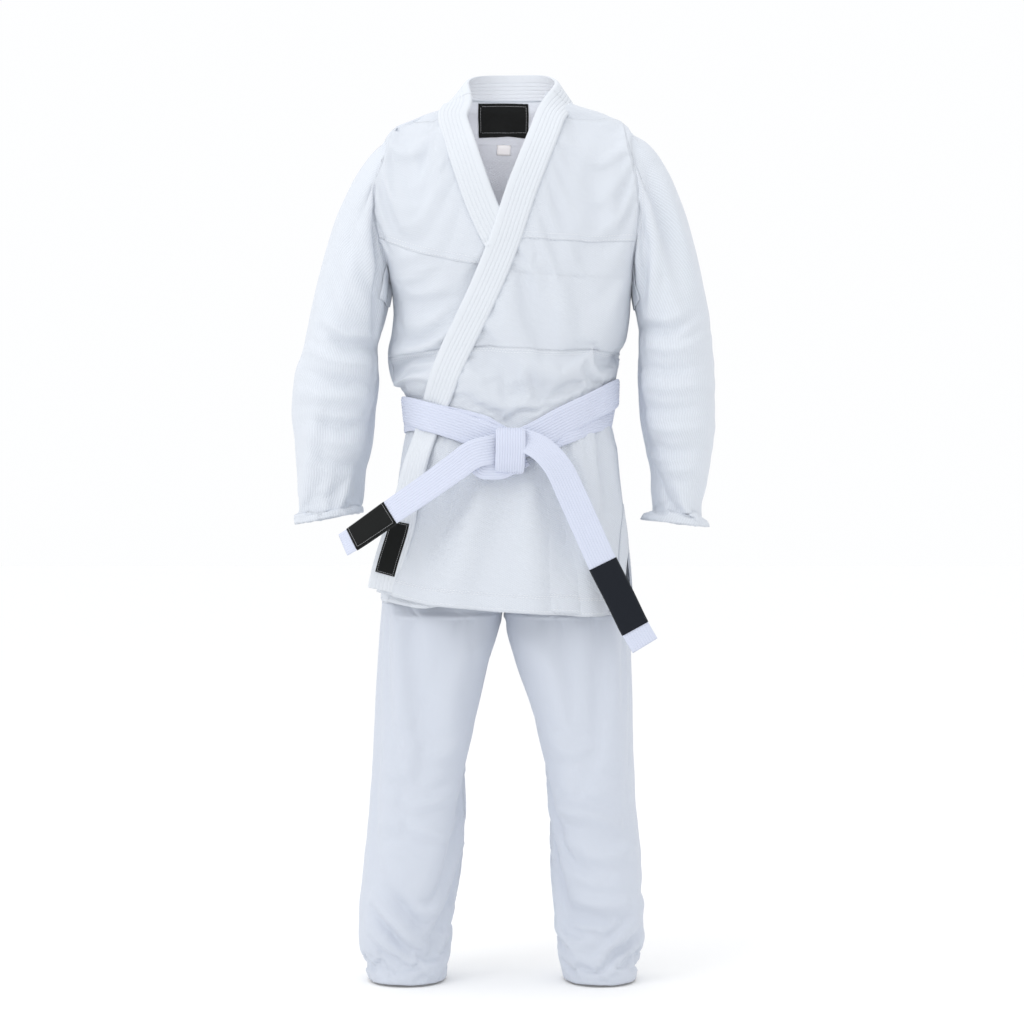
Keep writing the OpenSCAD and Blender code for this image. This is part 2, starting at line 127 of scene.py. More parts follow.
def rounded(p, n):
    """A smooth line of n points through a few corners."""
    p = np.asarray(p, float)
    s = lengths(p)
    at = smooth(np.column_stack([s, p]))
    return resample(at(np.linspace(0, s[-1], 8 * n)), n)


def between(r, c, *grids):
    """Values of grids at rows and columns that may lie between their points."""
    i = np.clip(r.astype(int), 0, grids[0].shape[0] - 2)
    j = np.clip(np.floor(c).astype(int), 0, grids[0].shape[1] - 2)
    down, right = (r - i)[..., None], (c - j)[..., None]
    out = []
    for g in grids:
        first = g[i, j] * (1 - right) + g[i, j + 1] * right
        second = g[i + 1, j] * (1 - right) + g[i + 1, j + 1] * right
        out.append(first * (1 - down) + second * down)
    return out


# ---------------------------------------------------------------- meshes


def mesh_object(name, points, faces, uv, material):
    """An object from points in millimetres, quads or triangles, and one uv per corner."""
    points = np.asarray(points, float)
    faces = np.asarray(faces, int)
    out = np.column_stack([points[:, 0], points[:, 1], points[:, 2] - WAIST]) / 1000
    mesh = bpy.data.meshes.new(name)
    mesh.vertices.add(len(out))
    mesh.vertices.foreach_set("co", out.ravel())
    k = faces.shape[1]
    mesh.loops.add(faces.size)
    mesh.loops.foreach_set("vertex_index", faces.ravel())
    mesh.polygons.add(len(faces))
    mesh.polygons.foreach_set("loop_start", np.arange(len(faces)) * k)
    mesh.update(calc_edges=True)
    mesh.validate()
    if uv is not None:
        layer = mesh.uv_layers.new(name="cloth")
        layer.data.foreach_set("uv", np.asarray(uv, float).reshape(-1, 2).ravel() / 1000)
    mesh.shade_smooth()
    obj = bpy.data.objects.new(name, mesh)
    bpy.context.scene.collection.objects.link(obj)
    obj.data.materials.append(material)
    return obj


def quads(r, c, wrap=False):
    """Corner indices of a grid's faces, and their row and column in the uv grid."""
    w = c if wrap else c - 1
    i, j = np.meshgrid(np.arange(r - 1), np.arange(w), indexing="ij")
    k = (j + 1) % c
    f = np.stack([i * c + j, i * c + k, (i + 1) * c + k, (i + 1) * c + j], -1).reshape(-1, 4)
    row = np.stack([i, i, i + 1, i + 1], -1).reshape(-1, 4)
    col = np.stack([j, j + 1, j + 1, j], -1).reshape(-1, 4)
    return f, row, col


def grid_uv(p, wrap=False):
    """Cloth coordinates of a grid: millimetres across and along."""
    q = np.concatenate([p, p[:, :1]], axis=1) if wrap else p
    across = np.linalg.norm(np.diff(q, axis=1), axis=2)
    across = np.concatenate([np.zeros((len(q), 1)), np.cumsum(across, axis=1)], axis=1)
    across -= across.mean(axis=1, keepdims=True)
    steps = np.linalg.norm(np.diff(q, axis=0), axis=2).mean(axis=1)
    along = np.concatenate([[0], np.cumsum(steps)])[:, None] * np.ones((1, q.shape[1]))
    return np.stack([across, along], -1)


def declare(p, wrap=False):
    """Works out how large a piece's cloth is across and along; the sizes are not used."""
    q = np.concatenate([p, p[:, :1]], axis=1) if wrap else p
    q = q / 1000
    across = np.linalg.norm(np.diff(q, axis=1), axis=2).sum(axis=1).max()
    along = np.linalg.norm(np.diff(q, axis=0), axis=2).sum(axis=0).max()


def shell(name, p, material, thick=1.6, wrap=False, puff=0.0):
    """A closed sheet of cloth: a grid of points, and the same grid one thickness inside."""
    r, c = p.shape[:2]
    n = normals(p, wrap)
    uv = grid_uv(p, wrap)
    outer = p
    if puff:
        a = np.linspace(-1, 1, c)[None, :] ** 8
        b = np.linspace(-1, 1, r)[:, None] ** 8
        fall = np.maximum(b, 0 if wrap else a)[..., None]
        outer = p + n * puff * (1 - fall)
    inner = p - n * thick
    f, row, col = quads(r, c, wrap)
    count = r * c
    faces = [f, f[:, ::-1] + count]
    corner = uv[row, col]
    uvs = [corner, corner[:, ::-1]]
    w = c if wrap else c - 1
    j = np.arange(w)
    k = (j + 1) % c
    for base, turned in ((0, True), ((r - 1) * c, False)):
        rim = np.stack([base + j, base + k, count + base + k, count + base + j], -1)
        faces.append(rim[:, ::-1] if turned else rim)
        line = base // c
        e = np.stack([uv[line, j], uv[line, j + 1], uv[line, j + 1], uv[line, j]], 1)
        uvs.append(e[:, ::-1] if turned else e)
    if not wrap:
        i = np.arange(r - 1)
        for edge, turned in ((0, False), (c - 1, True)):
            a, b = i * c + edge, (i + 1) * c + edge
            rim = np.stack([a, b, count + b, count + a], -1)
            faces.append(rim[:, ::-1] if turned else rim)
            e = np.stack([uv[i, edge], uv[i + 1, edge], uv[i + 1, edge], uv[i, edge]], 1)
            uvs.append(e[:, ::-1] if turned else e)
    faces = np.concatenate(faces)[:, ::-1]
    uvs = np.concatenate(uvs)[:, ::-1]
    points = np.concatenate([outer.reshape(-1, 3), inner.reshape(-1, 3)])
    obj = mesh_object(name, points, faces, uvs, material)
    declare(p, wrap)
    return obj


def band_profile(width, thick, rows, depth, first=-0.7, last=0.7, both=False):
    """Closed outline of a flat band: rounded edges, and stitched grooves on its face."""
    a = np.linspace(-1, 1, 12 * rows + 1)
    back = np.linspace(1, -1, len(a) if both else 9)[1:-1]
    lift = thick * (1 - np.abs(a) ** 10) ** 0.5
    low = np.zeros_like(back)
    for g in np.linspace(first, last, rows):
        lift -= depth * np.exp(-(((a - g) * width / 2) / 0.75) ** 2) * (np.abs(a) < 0.97)
        if both:
            low += depth * np.exp(-(((back - g) * width / 2) / 0.75) ** 2)
    across = np.concatenate([a, back]) * width / 2
    up = np.concatenate([np.maximum(lift, 0.15 * thick), low])
    return np.stack([across, up], -1)


def sweep(name, centre, side, up, profile, material, closed=False, held="folded"):
    """A band with that outline along a line; side and up are its directions at each point."""
    m, k = len(centre), len(profile)
    p = centre[:, None] + side[:, None] * profile[None, :, :1] + up[:, None] * profile[None, :, 1:]
    s = lengths(centre)
    run = np.append(s, s[-1] + np.linalg.norm(centre[0] - centre[-1]))
    around = profile[:, 0]
    i, j = np.meshgrid(np.arange(m if closed else m - 1), np.arange(k), indexing="ij")
    i2, j2 = (i + 1) % m, (j + 1) % k
    faces = np.stack([i * k + j, i * k + j2, i2 * k + j2, i2 * k + j], -1).reshape(-1, 4)
    corners = ((j, i), (j2, i), (j2, i + 1), (j, i + 1))
    uv = np.stack([np.stack([around[a], run[b]], -1) for a, b in corners], 2).reshape(-1, 4, 2)
    if not closed:
        a = np.arange(1, k // 2)
        for end, turned in ((0, True), (m - 1, False)):
            cap = end * k + np.stack([a - 1, a, k - 1 - a, k - a], -1)
            faces = np.concatenate([faces, cap[:, ::-1] if turned else cap])
            uv = np.concatenate([uv, np.tile([[0.0, run[end]]], (len(cap), 4, 1))])
    obj = mesh_object(name, p.reshape(-1, 3), faces[:, ::-1], uv[:, ::-1], material)
    return obj


def stitches(name, line, up, material, length=3.2, gap=1.6, wide=0.9):
    """A row of thread dashes along a line that lies on cloth."""
    s = lengths(line)
    starts = np.arange(gap, s[-1] - length, length + gap)
    if len(starts) < 2:
        return None

    def at(a, q):
        return np.stack([np.interp(q, s, a[:, k]) for k in range(3)], -1)

    ring = np.linspace(0, 2 * math.pi, 5)[:-1]
    stops = np.array([0.0, 0.25, 0.75, 1.0])
    swell = np.array([0.35, 1.0, 1.0, 0.35])
    q = starts[:, None] + stops[None] * length
    c = at(line, q)
    n = unit(at(up, q))
    t = unit(at(line, starts + length) - at(line, starts))[:, None] * np.ones((1, 4, 1))
    w = unit(np.cross(t, n))
    r = wide / 2 * swell[None, :, None, None]
    p = (
        c[:, :, None]
        + w[:, :, None] * np.cos(ring)[None, None, :, None] * r
        + n[:, :, None] * np.sin(ring)[None, None, :, None] * r * 0.8
    )
    starts_at = (np.arange(len(starts)) * 16)[:, None, None]
    faces = (quads(4, 4, True)[0][None] + starts_at).reshape(-1, 4)
    caps = np.array([[3, 2, 1, 0], [12, 13, 14, 15]])
    caps = (caps[None] + starts_at).reshape(-1, 4)
    faces = np.concatenate([faces, caps])
    return mesh_object(name, p.reshape(-1, 3), faces, None, material)


# ---------------------------------------------------------------- folds


def nearest(points, line):
    """Signed distance of flat points to a line, and how far along it, from 0 to 1."""
    line = np.asarray(line, float)
    s = lengths(line)
    best = np.full(len(points), 1e9)
    side = np.zeros(len(points))
    along = np.zeros(len(points))
    for i in range(len(line) - 1):
        a, d = line[i], line[i + 1] - line[i]
        l2 = (d**2).sum()
        t = np.clip(((points - a) @ d) / l2, 0, 1)
        off = points - (a + t[:, None] * d)
        dist = np.hypot(off[:, 0], off[:, 1])
        cross = d[0] * off[:, 1] - d[1] * off[:, 0]
        near = dist < best
        best = np.where(near, dist, best)
        side = np.where(near, np.sign(cross), side)
        along = np.where(near, (s[i] + t * (s[i + 1] - s[i])) / s[-1], along)
    return best * side, along


def relief(x, h, folds):
    """Height of a set of folds over flat points. A fold is (line, width, height, lean)."""
    flat = np.column_stack([x.ravel(), h.ravel()])
    out = np.zeros(len(flat))
    for line, width, height, lean in folds:
        line = rounded(line, 14) if len(line) > 2 else resample(line, 8)
        d, t = nearest(flat, line)
        taper = np.clip(np.sin(math.pi * np.clip(0.06 + 0.88 * t, 0, 1)), 0, 1) ** 0.8
        core = np.exp(-((d / width) ** 2))
        ring = -0.42 * np.exp(-(((np.abs(d) - 1.75 * width) / (0.85 * width)) ** 2))
        tilt = 1 + lean * np.tanh(d / width)
        out += height * taper * (core + ring * tilt)
    return out.reshape(x.shape)


def higher(folds, rise, widen):
    """The same folds for a limb's back, that much higher and wider, in reverse order."""
    return [
        ([(x, h + rise) for x, h in line], width * widen, height, lean)
        for line, width, height, lean in folds[::-1]
    ]


def ripple(u, v, seed, size, height):
    """Soft uneven waves, the same for the same seed."""
    rng = np.random.default_rng(seed)
    out = np.zeros(np.broadcast(u, v).shape)
    for _ in range(9):
        a, b = rng.normal(0, 1, 2) / size
        out = out + rng.normal() * np.sin(a * u + b * v + rng.uniform(0, 7))
    return out * height / 3


# ---------------------------------------------------------------- materials


def node_material(name, colour, rough=0.85, sheen=0.25):
    mat = bpy.data.materials.new(name)
    mat.use_nodes = True
    shader = mat.node_tree.nodes["Principled BSDF"]
    shader.inputs["Base Color"].default_value = (*colour, 1)
    for socket, value in (
        ("Roughness", rough),
        ("Sheen Weight", sheen),
        ("Sheen Roughness", 0.5),
        ("Specular IOR Level", 0.25),
    ):
        shader.inputs[socket].default_value = value
    return mat, mat.node_tree, shader


def bump_node(tree, shader, height, strength, distance):
    """Raise a surface by a height, that far in metres at full strength."""
    node = tree.nodes.new("ShaderNodeBump")
    node.inputs["Strength"].default_value = strength
    node.inputs["Distance"].default_value = distance
    tree.links.new(height, node.inputs["Height"])
    tree.links.new(node.outputs[0], shader.inputs["Normal"])


def weave(name, colour, across, along, bump, shade, ribs=0.0, sheen=0.2):
    """Woven cloth: grains of that size in millimetres, raised, with slight painted shade in their
    hollows.
    """
    mat, tree, shader = node_material(name, colour, 0.88, sheen)
    uv = tree.nodes.new("ShaderNodeUVMap")
    uv.uv_map = "cloth"
    split = tree.nodes.new("ShaderNodeSeparateXYZ")
    tree.links.new(uv.outputs[0], split.inputs[0])

    def maths(kind, *values):
        node = tree.nodes.new("ShaderNodeMath")
        node.operation = kind
        for socket, value in zip(node.inputs, values):
            if isinstance(value, (int, float)):
                socket.default_value = value
            else:
                tree.links.new(value, socket)
        return node.outputs[0]

    def noise(scale, detail):
        node = tree.nodes.new("ShaderNodeTexNoise")
        node.inputs["Scale"].default_value = scale
        node.inputs["Detail"].default_value = detail
        tree.links.new(uv.outputs[0], node.inputs["Vector"])
        return node.outputs[0]

    u = maths("MULTIPLY", split.outputs[0], 1000 / across * 2 * math.pi)
    v = maths("MULTIPLY", split.outputs[1], 1000 / along * 2 * math.pi)
    u = maths("ADD", u, maths("MULTIPLY", noise(60, 2), 1.6))
    # every second grain across is half a grain further along
    shift = maths("SIGN", maths("SINE", maths("MULTIPLY", u, 0.5)))
    v = maths("ADD", v, maths("MULTIPLY", shift, math.pi / 2))
    rib = maths("SINE", u)
    mixed = maths("MULTIPLY", rib, maths("SINE", v))
    if ribs:
        mixed = maths("MULTIPLY", mixed, 1 - ribs)
        mixed = maths("ADD", mixed, maths("MULTIPLY", rib, ribs))
    height = maths("ADD", mixed, maths("MULTIPLY", noise(900, 3), 0.7))
    bump_node(tree, shader, height, bump, 0.0006)
    # painted shade: the colour darkens by the share shade where the grains lie low
    ramp = tree.nodes.new("ShaderNodeValToRGB")
    low, high = ramp.color_ramp.elements
    low.position, high.position = 0.15, 0.75
    low.color = (*(c * (1 - shade) for c in colour), 1)
    high.color = (*colour, 1)
    tree.links.new(maths("MULTIPLY_ADD", height, 0.35, 0.4), ramp.inputs[0])
    tree.links.new(ramp.outputs[0], shader.inputs["Base Color"])
    return mat


JACKET = weave("jacket_weave", (0.715, 0.755, 0.82), 3.4, 2.8, 0.5, 0.09)
SLEEVE = weave("sleeve_weave", (0.715, 0.755, 0.82), 4.2, 3.0, 0.55, 0.09, ribs=0.75)
COLLAR = weave("collar_twill", (0.72, 0.755, 0.805), 1.3, 1.3, 0.2, 0.04)
TROUSER = weave("trouser_cloth", (0.62, 0.66, 0.74), 1.1, 1.1, 0.2, 0.04)
BELT = weave("belt_cotton", (0.66, 0.70, 0.83), 1.2, 1.6, 0.25, 0.05)
BLACK = weave("patch_black", (0.006, 0.007, 0.007), 1.2, 1.2, 0.3, 0.3, sheen=0.05)
NAVY = weave("bar_black", (0.010, 0.013, 0.020), 1.2, 1.6, 0.3, 0.3, sheen=0.05)
TAG = weave("tag_white", (0.86, 0.86, 0.87), 0.8, 0.8, 0.1, 0.02)


def twist(name, colour):
    """A thread of fine slanting strands."""
    mat, tree, shader = node_material(name, colour, 0.7, 0.2)
    wave = tree.nodes.new("ShaderNodeTexWave")
    wave.inputs["Scale"].default_value = 900
    spot = tree.nodes.new("ShaderNodeTexCoord")
    tree.links.new(spot.outputs["Object"], wave.inputs["Vector"])
    bump_node(tree, shader, wave.outputs[1], 0.3, 0.0002)
    return mat


THREAD = twist("thread_white", (0.86, 0.88, 0.92))
EDGE = twist("thread_grey", (0.33, 0.34, 0.35))

# ---------------------------------------------------------------- the jacket's body

# Height, left and right outline as seen from the front, depth to the front and to the back.
BODY = smooth([
    [596, -206, 213, 152, 152], [645, -205, 212, 151, 150], [700, -197, 207, 147, 146],
    [770, -181, 199, 139, 138], [812, -173, 193, 132, 132], [851, -164, 190, 125, 126],
    [869, -157, 180, 121, 122], [888, -152, 171, 117, 117], [907, -151, 173, 116, 116],
    [925, -153, 177, 116, 117], [942, -161, 176, 118, 119], [960, -171, 179, 121, 122],
    [997, -175, 181, 124, 128], [1035, -170, 191, 130, 136], [1064, -164, 197, 133, 140],
    [1095, -170, 202, 134, 142], [1125, -181, 208, 134, 142], [1180, -216, 239, 133, 141],
    [1250, -233, 252, 125, 135], [1310, -224, 244, 108, 120], [1340, -199, 222, 90, 105],
    [1358, -174, 205, 76, 92], [1378, -132, 168, 57, 78], [1398, -80, 108, 42, 63],
    [1413, -71, 97, 44, 64], [1428, -62, 85, 45, 65], [1444, -55, 73, 45, 65],
    [1456, -50, 66, 45, 65],
])

# Where the armhole seams lie, by height: the wearer's right and left.
ARMHOLE = smooth([
    [1090, -400, 400], [1118, -181, 206], [1138, -184, 207], [1179, -197, 211], [1222, -204, 214],
    [1256, -203, 212], [1318, -184, 200], [1345, -179, 195], [1357, -176, 193], [1366, -190, 191],
    [1376, -400, 400],
])

# Middle of the over and of the under lapel, by height.
OVER = smooth([
    [596, -187], [645, -178], [710, -161], [765, -147], [845, -126], [925, -102], [971, -86],
    [1024, -61], [1070, -38], [1165, 2], [1245, 28], [1305, 51], [1357, 70], [1397, 80],
])
UNDER = smooth([
    [596, 150], [765, 140], [925, 106], [1070, 45], [1165, -6], [1222, -33], [1272, -51],
    [1333, -71], [1372, -83], [1397, -88],
])


def roundness(h):
    """The exponent of the body's sections, which are squarer towards the hem."""
    return np.interp(h, [600, 780], [2 / 2.9, 2 / 2.3])


def section(k, angle, h, off, e):
    """Points of a rounded outline: k is left, right, depth to the front and to the back."""
    s, c = np.sin(angle), np.cos(angle)
    depth = np.where(c > 0, k[..., 2], k[..., 3]) + off
    x = (k[..., 0] + k[..., 1]) / 2 + ((k[..., 1] - k[..., 0]) / 2 + off) * power(s, e)
    return np.stack([x, -depth * power(c, e), h], -1)


def body(angle, h, off=0.0):
    """A point of the jacket's body: angle in degrees from the front to the wearer's left."""
    angle, h = np.broadcast_arrays(np.radians(np.asarray(angle, float)), np.asarray(h, float))
    return section(BODY(h), angle, h, off, roundness(h))


def angle_at(x, h):
    """The front angle at which the body is x to the side."""
    k = BODY(h)
    s = (x - (k[..., 0] + k[..., 1]) / 2) / ((k[..., 1] - k[..., 0]) / 2)
    return np.degrees(np.arcsin(power(np.clip(s, -1, 1), 1 / roundness(h))))


def edge_angles(h):
    """Angles of the two armhole or side seams on the front."""
    h = np.asarray(h, float)
    arm = ARMHOLE(h)
    return angle_at(arm[..., 0], h), angle_at(arm[..., 1], h)


FRONT_FOLDS = [
    # across the belly on the wearer's right
    ([(-176, 1098), (-130, 1079), (-78, 1084)], 9, -4.5, 0.4),
    ([(-172, 1060), (-135, 1052), (-96, 1058)], 10, 3.5, 0.0),
    ([(-176, 1034), (-140, 1030), (-98, 1038)], 8, -4.0, -0.4),
    ([(-182, 1010), (-140, 1008), (-104, 1018)], 10, 3.5, 0.0),
    ([(-182, 976), (-150, 996), (-104, 996)], 7, -5.0, -0.5),
    ([(-176, 955), (-140, 962), (-112, 955)], 9, 3.0, 0.0),
    # beside the collar
    ([(-106, 1382), (-124, 1300), (-112, 1230)], 9, -4.0, 0.3),
    ([(-88, 1370), (-100, 1290), (-86, 1200)], 12, 3.0, 0.0),
    # from the armpits
    ([(-186, 1150), (-140, 1176), (-90, 1172)], 12, -3.0, 0.2),
    ([(-184, 1128), (-150, 1120), (-110, 1132)], 9, 3.5, 0.0),
    ([(-186, 1290), (-160, 1240), (-150, 1180)], 12, 3.5, 0.0),
    ([(208, 1150), (170, 1180), (120, 1176)], 12, -2.5, 0.2),
    ([(204, 1128), (178, 1100), (160, 1040)], 10, 3.0, 0.0),
    ([(188, 1300), (172, 1240), (180, 1170)], 12, 3.5, 0.0),
    ([(160, 1330), (140, 1260), (150, 1190)], 13, -2.5, 0.0),
    # pressed line down the wearer's left front
    ([(120, 1210), (104, 1142), (92, 1040), (80, 930)], 15, 3.2, 0.0),
    ([(142, 1190), (128, 1110), (118, 1020), (108, 940)], 18, -3.5, 0.0),
    # pulled towards the crossing
    ([(6, 1166), (34, 1134), (72, 1118)], 7, -2.2, 0.2),
    ([(20, 1148), (50, 1118), (86, 1100)], 8, 2.0, 0.0),
    ([(60, 1000), (66, 960), (60, 925)], 8, -2.0, 0.0),
    ([(30, 990), (34, 955), (36, 920)], 9, 2.2, 0.0),
    ([(130, 985), (140, 955), (150, 930)], 9, -2.4, 0.0),
    ([(0, 975), (4, 940), (14, 905)], 8, -1.8, 0.0),
    # below the belt
    ([(-50, 826), (-88, 760), (-122, 690), (-134, 640)], 20, -6.0, 0.3),
    ([(-20, 800), (-44, 730), (-66, 660), (-76, 610)], 22, 5.0, 0.0),
    ([(60, 830), (86, 770), (96, 700), (90, 640)], 20, -5.0, -0.2),
    ([(24, 800), (34, 740), (34, 670)], 18, 4.0, 0.0),
    ([(130, 850), (142, 790), (146, 720), (140, 650)], 18, 4.0, 0.0),
    ([(168, 860), (176, 800), (178, 740)], 12, -3.5, 0.0),
    ([(-120, 850), (-142, 800), (-150, 740)], 14, 3.5, 0.0),
]
BACK_FOLDS = [
    ([(-150, 1200), (-120, 1120), (-130, 1030), (-110, 950)], 20, -6.0, 0.2),
    ([(150, 1200), (124, 1120), (136, 1030), (112, 950)], 20, -6.0, -0.2),
    ([(-90, 1180), (-70, 1080), (-78, 960)], 22, 4.0, 0.0),
    ([(96, 1180), (76, 1080), (84, 960)], 22, 4.0, 0.0),
    ([(-176, 1040), (-110, 1016), (-40, 1020)], 14, -4.0, 0.3),
    ([(190, 1030), (120, 1002), (40, 1004)], 14, -4.0, 0.3),
    ([(-160, 985), (-90, 972), (-20, 978)], 13, 4.0, 0.0),
    ([(170, 980), (100, 966), (30, 960)], 13, 4.0, 0.0),
    ([(-120, 860), (-140, 780), (-140, 680)], 22, -6.0, 0.0),
    ([(120, 860), (140, 780), (146, 680)], 22, -6.0, 0.0),
    ([(-50, 860), (-60, 770), (-64, 650)], 24, 6.0, 0.0),
    ([(60, 860), (66, 770), (70, 650)], 24, 6.0, 0.0),
    ([(-160, 1290), (-100, 1300), (-40, 1290)], 20, -3.0, 0.0),
    ([(160, 1290), (100, 1300), (40, 1290)], 20, -3.0, 0.0),
]


ARM_LOW, HEM = 1118.0, 600.0
ARM_TOP = {-1: 1357.0, 1: 1366.0}
SEAM, VENT, TOP = 1004.0, 764.0, 1411.0
PANEL_ROWS = 210


def belt_height(angle):
    """Height of the belt's middle around the body."""
    c = np.cos(np.radians(angle))
    side = np.sin(np.radians(angle))
    top = 922 + 14 * side
    return top - np.where(c > 0, (top - 848) * (1 - np.abs(side) ** 0.9), 0)


def hem_shift(x, angle):
    """How much lower or higher than level the hem hangs, by distance to the side."""
    front = np.interp(x, [-200, -118, -14, 59, 122, 190], [22, 6, -3, -8, -12, -9])
    return np.where(np.cos(np.radians(angle)) > 0, front, 6 * np.sin(np.radians(angle)))


class Panel:
    """A panel of the jacket's body, from hem to neck between two edge angles at each height.

    Off is its distance from the body's outline, seams are the edges that are sewn to a
    neighbour, and lower is how much further its hem hangs beside the under panel's seam.
    """

    def __init__(self, start, end, columns, folds, seed, seams, off=None, lower=0.0):
        self.h = np.linspace(HEM, TOP, PANEL_ROWS)
        self.start, self.end = start(self.h), end(self.h)
        self.columns = columns
        self.angle = self.start[:, None] + (self.end - self.start)[:, None] * np.linspace(0, 1, columns)
        hh = self.h[:, None] * np.ones((1, columns))
        p = body(self.angle, hh, off(self.angle, hh) if off else 0.0)
        lift = 1.35 * relief(p[..., 0], hh, folds) + ripple(p[..., 0], hh, seed, 34, 1.5)
        self.tight = np.exp(-(((hh - belt_height(self.angle)) / 34) ** 2))
        lift *= 1 - self.tight
        steps = np.linalg.norm(np.diff(p, axis=1), axis=2)
        run = np.concatenate([np.zeros((PANEL_ROWS, 1)), np.cumsum(steps, axis=1)], axis=1)
        self.edge = np.full_like(run, 1e3)
        if "start" in seams:
            self.edge = np.minimum(self.edge, run)
        if "end" in seams:
            self.edge = np.minimum(self.edge, run[:, -1:] - run)
        lift *= ease(self.edge / 16)
        self.p = p + normals(p) * lift[..., None]
        drop = ease((VENT - hh) / 170)
        lower = lower * ease((-12 - self.angle) / 26)
        self.p[..., 2] += drop * (hem_shift(self.p[..., 0], self.angle) - lower)

    def finish(self):
        self.n = normals(self.p)

    def at(self, angle, h, off=0.0):
        """Points on the panel at angles and heights, moved out along its normals."""
        angle, h = np.broadcast_arrays(np.asarray(angle, float), np.asarray(h, float))
        r = np.clip((h - self.h[0]) / (self.h[-1] - self.h[0]), 0, 1) * (len(self.h) - 1)
        s = np.interp(h, self.h, self.start)
        e = np.interp(h, self.h, self.end)
        p, n = between(r, (angle - s) / (e - s) * (self.columns - 1), self.p, self.n)
        n = unit(n)
        return p + n * off, n


def over_start(h):
    return angle_at(OVER(h)[..., 0] - 14, h)


def over_end(h):
    """The over panel's outer edge, which swings inwards below the vent."""
    h = np.asarray(h, float)
    seam = edge_angles(h)[1]
    below = angle_at(BODY(h)[..., 1] - 18 * ((VENT - h) / 160) ** 2, h)
    return np.where(h < VENT, np.minimum(seam, below), seam)


def under_end(h):
    return np.minimum(angle_at(UNDER(h)[..., 0] + 14, h), 60)


def under_depth(angle, h):
    """The under panel lies behind the over panel where that covers it."""
    cover = ease((angle - angle_at(OVER(h)[..., 0] - 20, h)) / 12)
    away = ease((angle - edge_angles(h)[0]) / 14)
    return -2.5 * away - 8.0 * cover


def back_start(h):
    return 180 - edge_angles(h)[1]


def back_end(h):
    return 180 - edge_angles(h)[0]


over = Panel(over_start, over_end, 110, FRONT_FOLDS, 1, ["end"])
under = Panel(
    lambda h: edge_angles(h)[0], under_end, 120, FRONT_FOLDS, 1, ["start"], under_depth, 12.0
)
back = Panel(back_start, back_end, 140, BACK_FOLDS, 2, ["start", "end"])


def keep(obj, body_name):
    """A piece that moves with one body and stands for the CAD piece of its own name.

    The CAD piece holds that name already, so Blender adds a number after a dot.
    """
    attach(obj, body_name)
    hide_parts(obj.name.split(".")[0])


def bend(obj):
    """Bake a piece's placement into its points."""
    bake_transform(obj)


# ---------------------------------------------------------------- sleeves

# Station from the armhole to the cuff, outer edge, its height, inner edge, its height, depth.
ARM_RIGHT = [
    [0, 172, 1360, 181, 1120, 78], [1, 212, 1334, 180, 1112, 82], [2, 245, 1292, 179, 1106, 82],
    [3, 272, 1238, 180, 1098, 80], [4, 292, 1178, 184, 1085, 78], [5, 308, 1120, 190, 1066, 76],
    [6, 322, 1066, 198, 1042, 75], [7, 334, 1012, 207, 1014, 74], [8, 347, 965, 198, 972, 73],
    [9, 350, 915, 205, 920, 70], [10, 346, 865, 211, 868, 67], [11, 341, 810, 226, 822, 62],
    [12, 336, 765, 227, 780, 59], [13, 331, 727, 226, 746, 57],
]
ARM_LEFT = [
    [0, 190, 1362, 206, 1116, 80], [1, 236, 1344, 206, 1106, 84], [2, 272, 1302, 207, 1101, 84],
    [3, 298, 1246, 208, 1094, 82], [4, 316, 1188, 212, 1080, 80], [5, 331, 1125, 218, 1062, 78],
    [6, 341, 1066, 224, 1040, 77], [7, 347, 1008, 220, 1005, 76], [8, 350, 955, 215, 958, 75],
    [9, 349, 905, 219, 908, 72], [10, 342, 852, 232, 862, 68], [11, 334, 805, 243, 815, 63],
    [12, 326, 762, 240, 772, 60], [13, 328, 722, 222, 734, 61],
]
RIGHT_FOLDS = [
    ([(-240, 1210), (-222, 1154), (-196, 1104)], 9, 5.0, 0.3),
    ([(-212, 1240), (-206, 1170), (-190, 1116)], 8, -5.0, 0.0),
    ([(-262, 1160), (-244, 1110), (-212, 1060)], 11, 4.0, 0.0),
    ([(-290, 1110), (-270, 1060), (-222, 1024)], 11, -4.0, 0.2),
    ([(-206, 1018), (-246, 1016), (-296, 1040)], 8, -7.0, -0.3),
    ([(-202, 992), (-250, 988), (-316, 1008)], 10, 6.0, 0.0),
    ([(-202, 962), (-246, 958), (-322, 976)], 8, -5.5, -0.3),
    ([(-204, 936), (-262, 936), (-334, 944)], 10, 4.5, 0.0),
    ([(-212, 902), (-256, 892), (-312, 904)], 8, -5.0, -0.3),
    ([(-214, 872), (-256, 864), (-320, 880)], 10, 4.0, 0.0),
    ([(-222, 838), (-262, 832), (-316, 852)], 8, -4.0, -0.3),
    ([(-300, 930), (-312, 860), (-318, 790)], 12, 3.0, 0.0),
    ([(-262, 820), (-268, 780), (-262, 742)], 10, -2.6, 0.0),
]
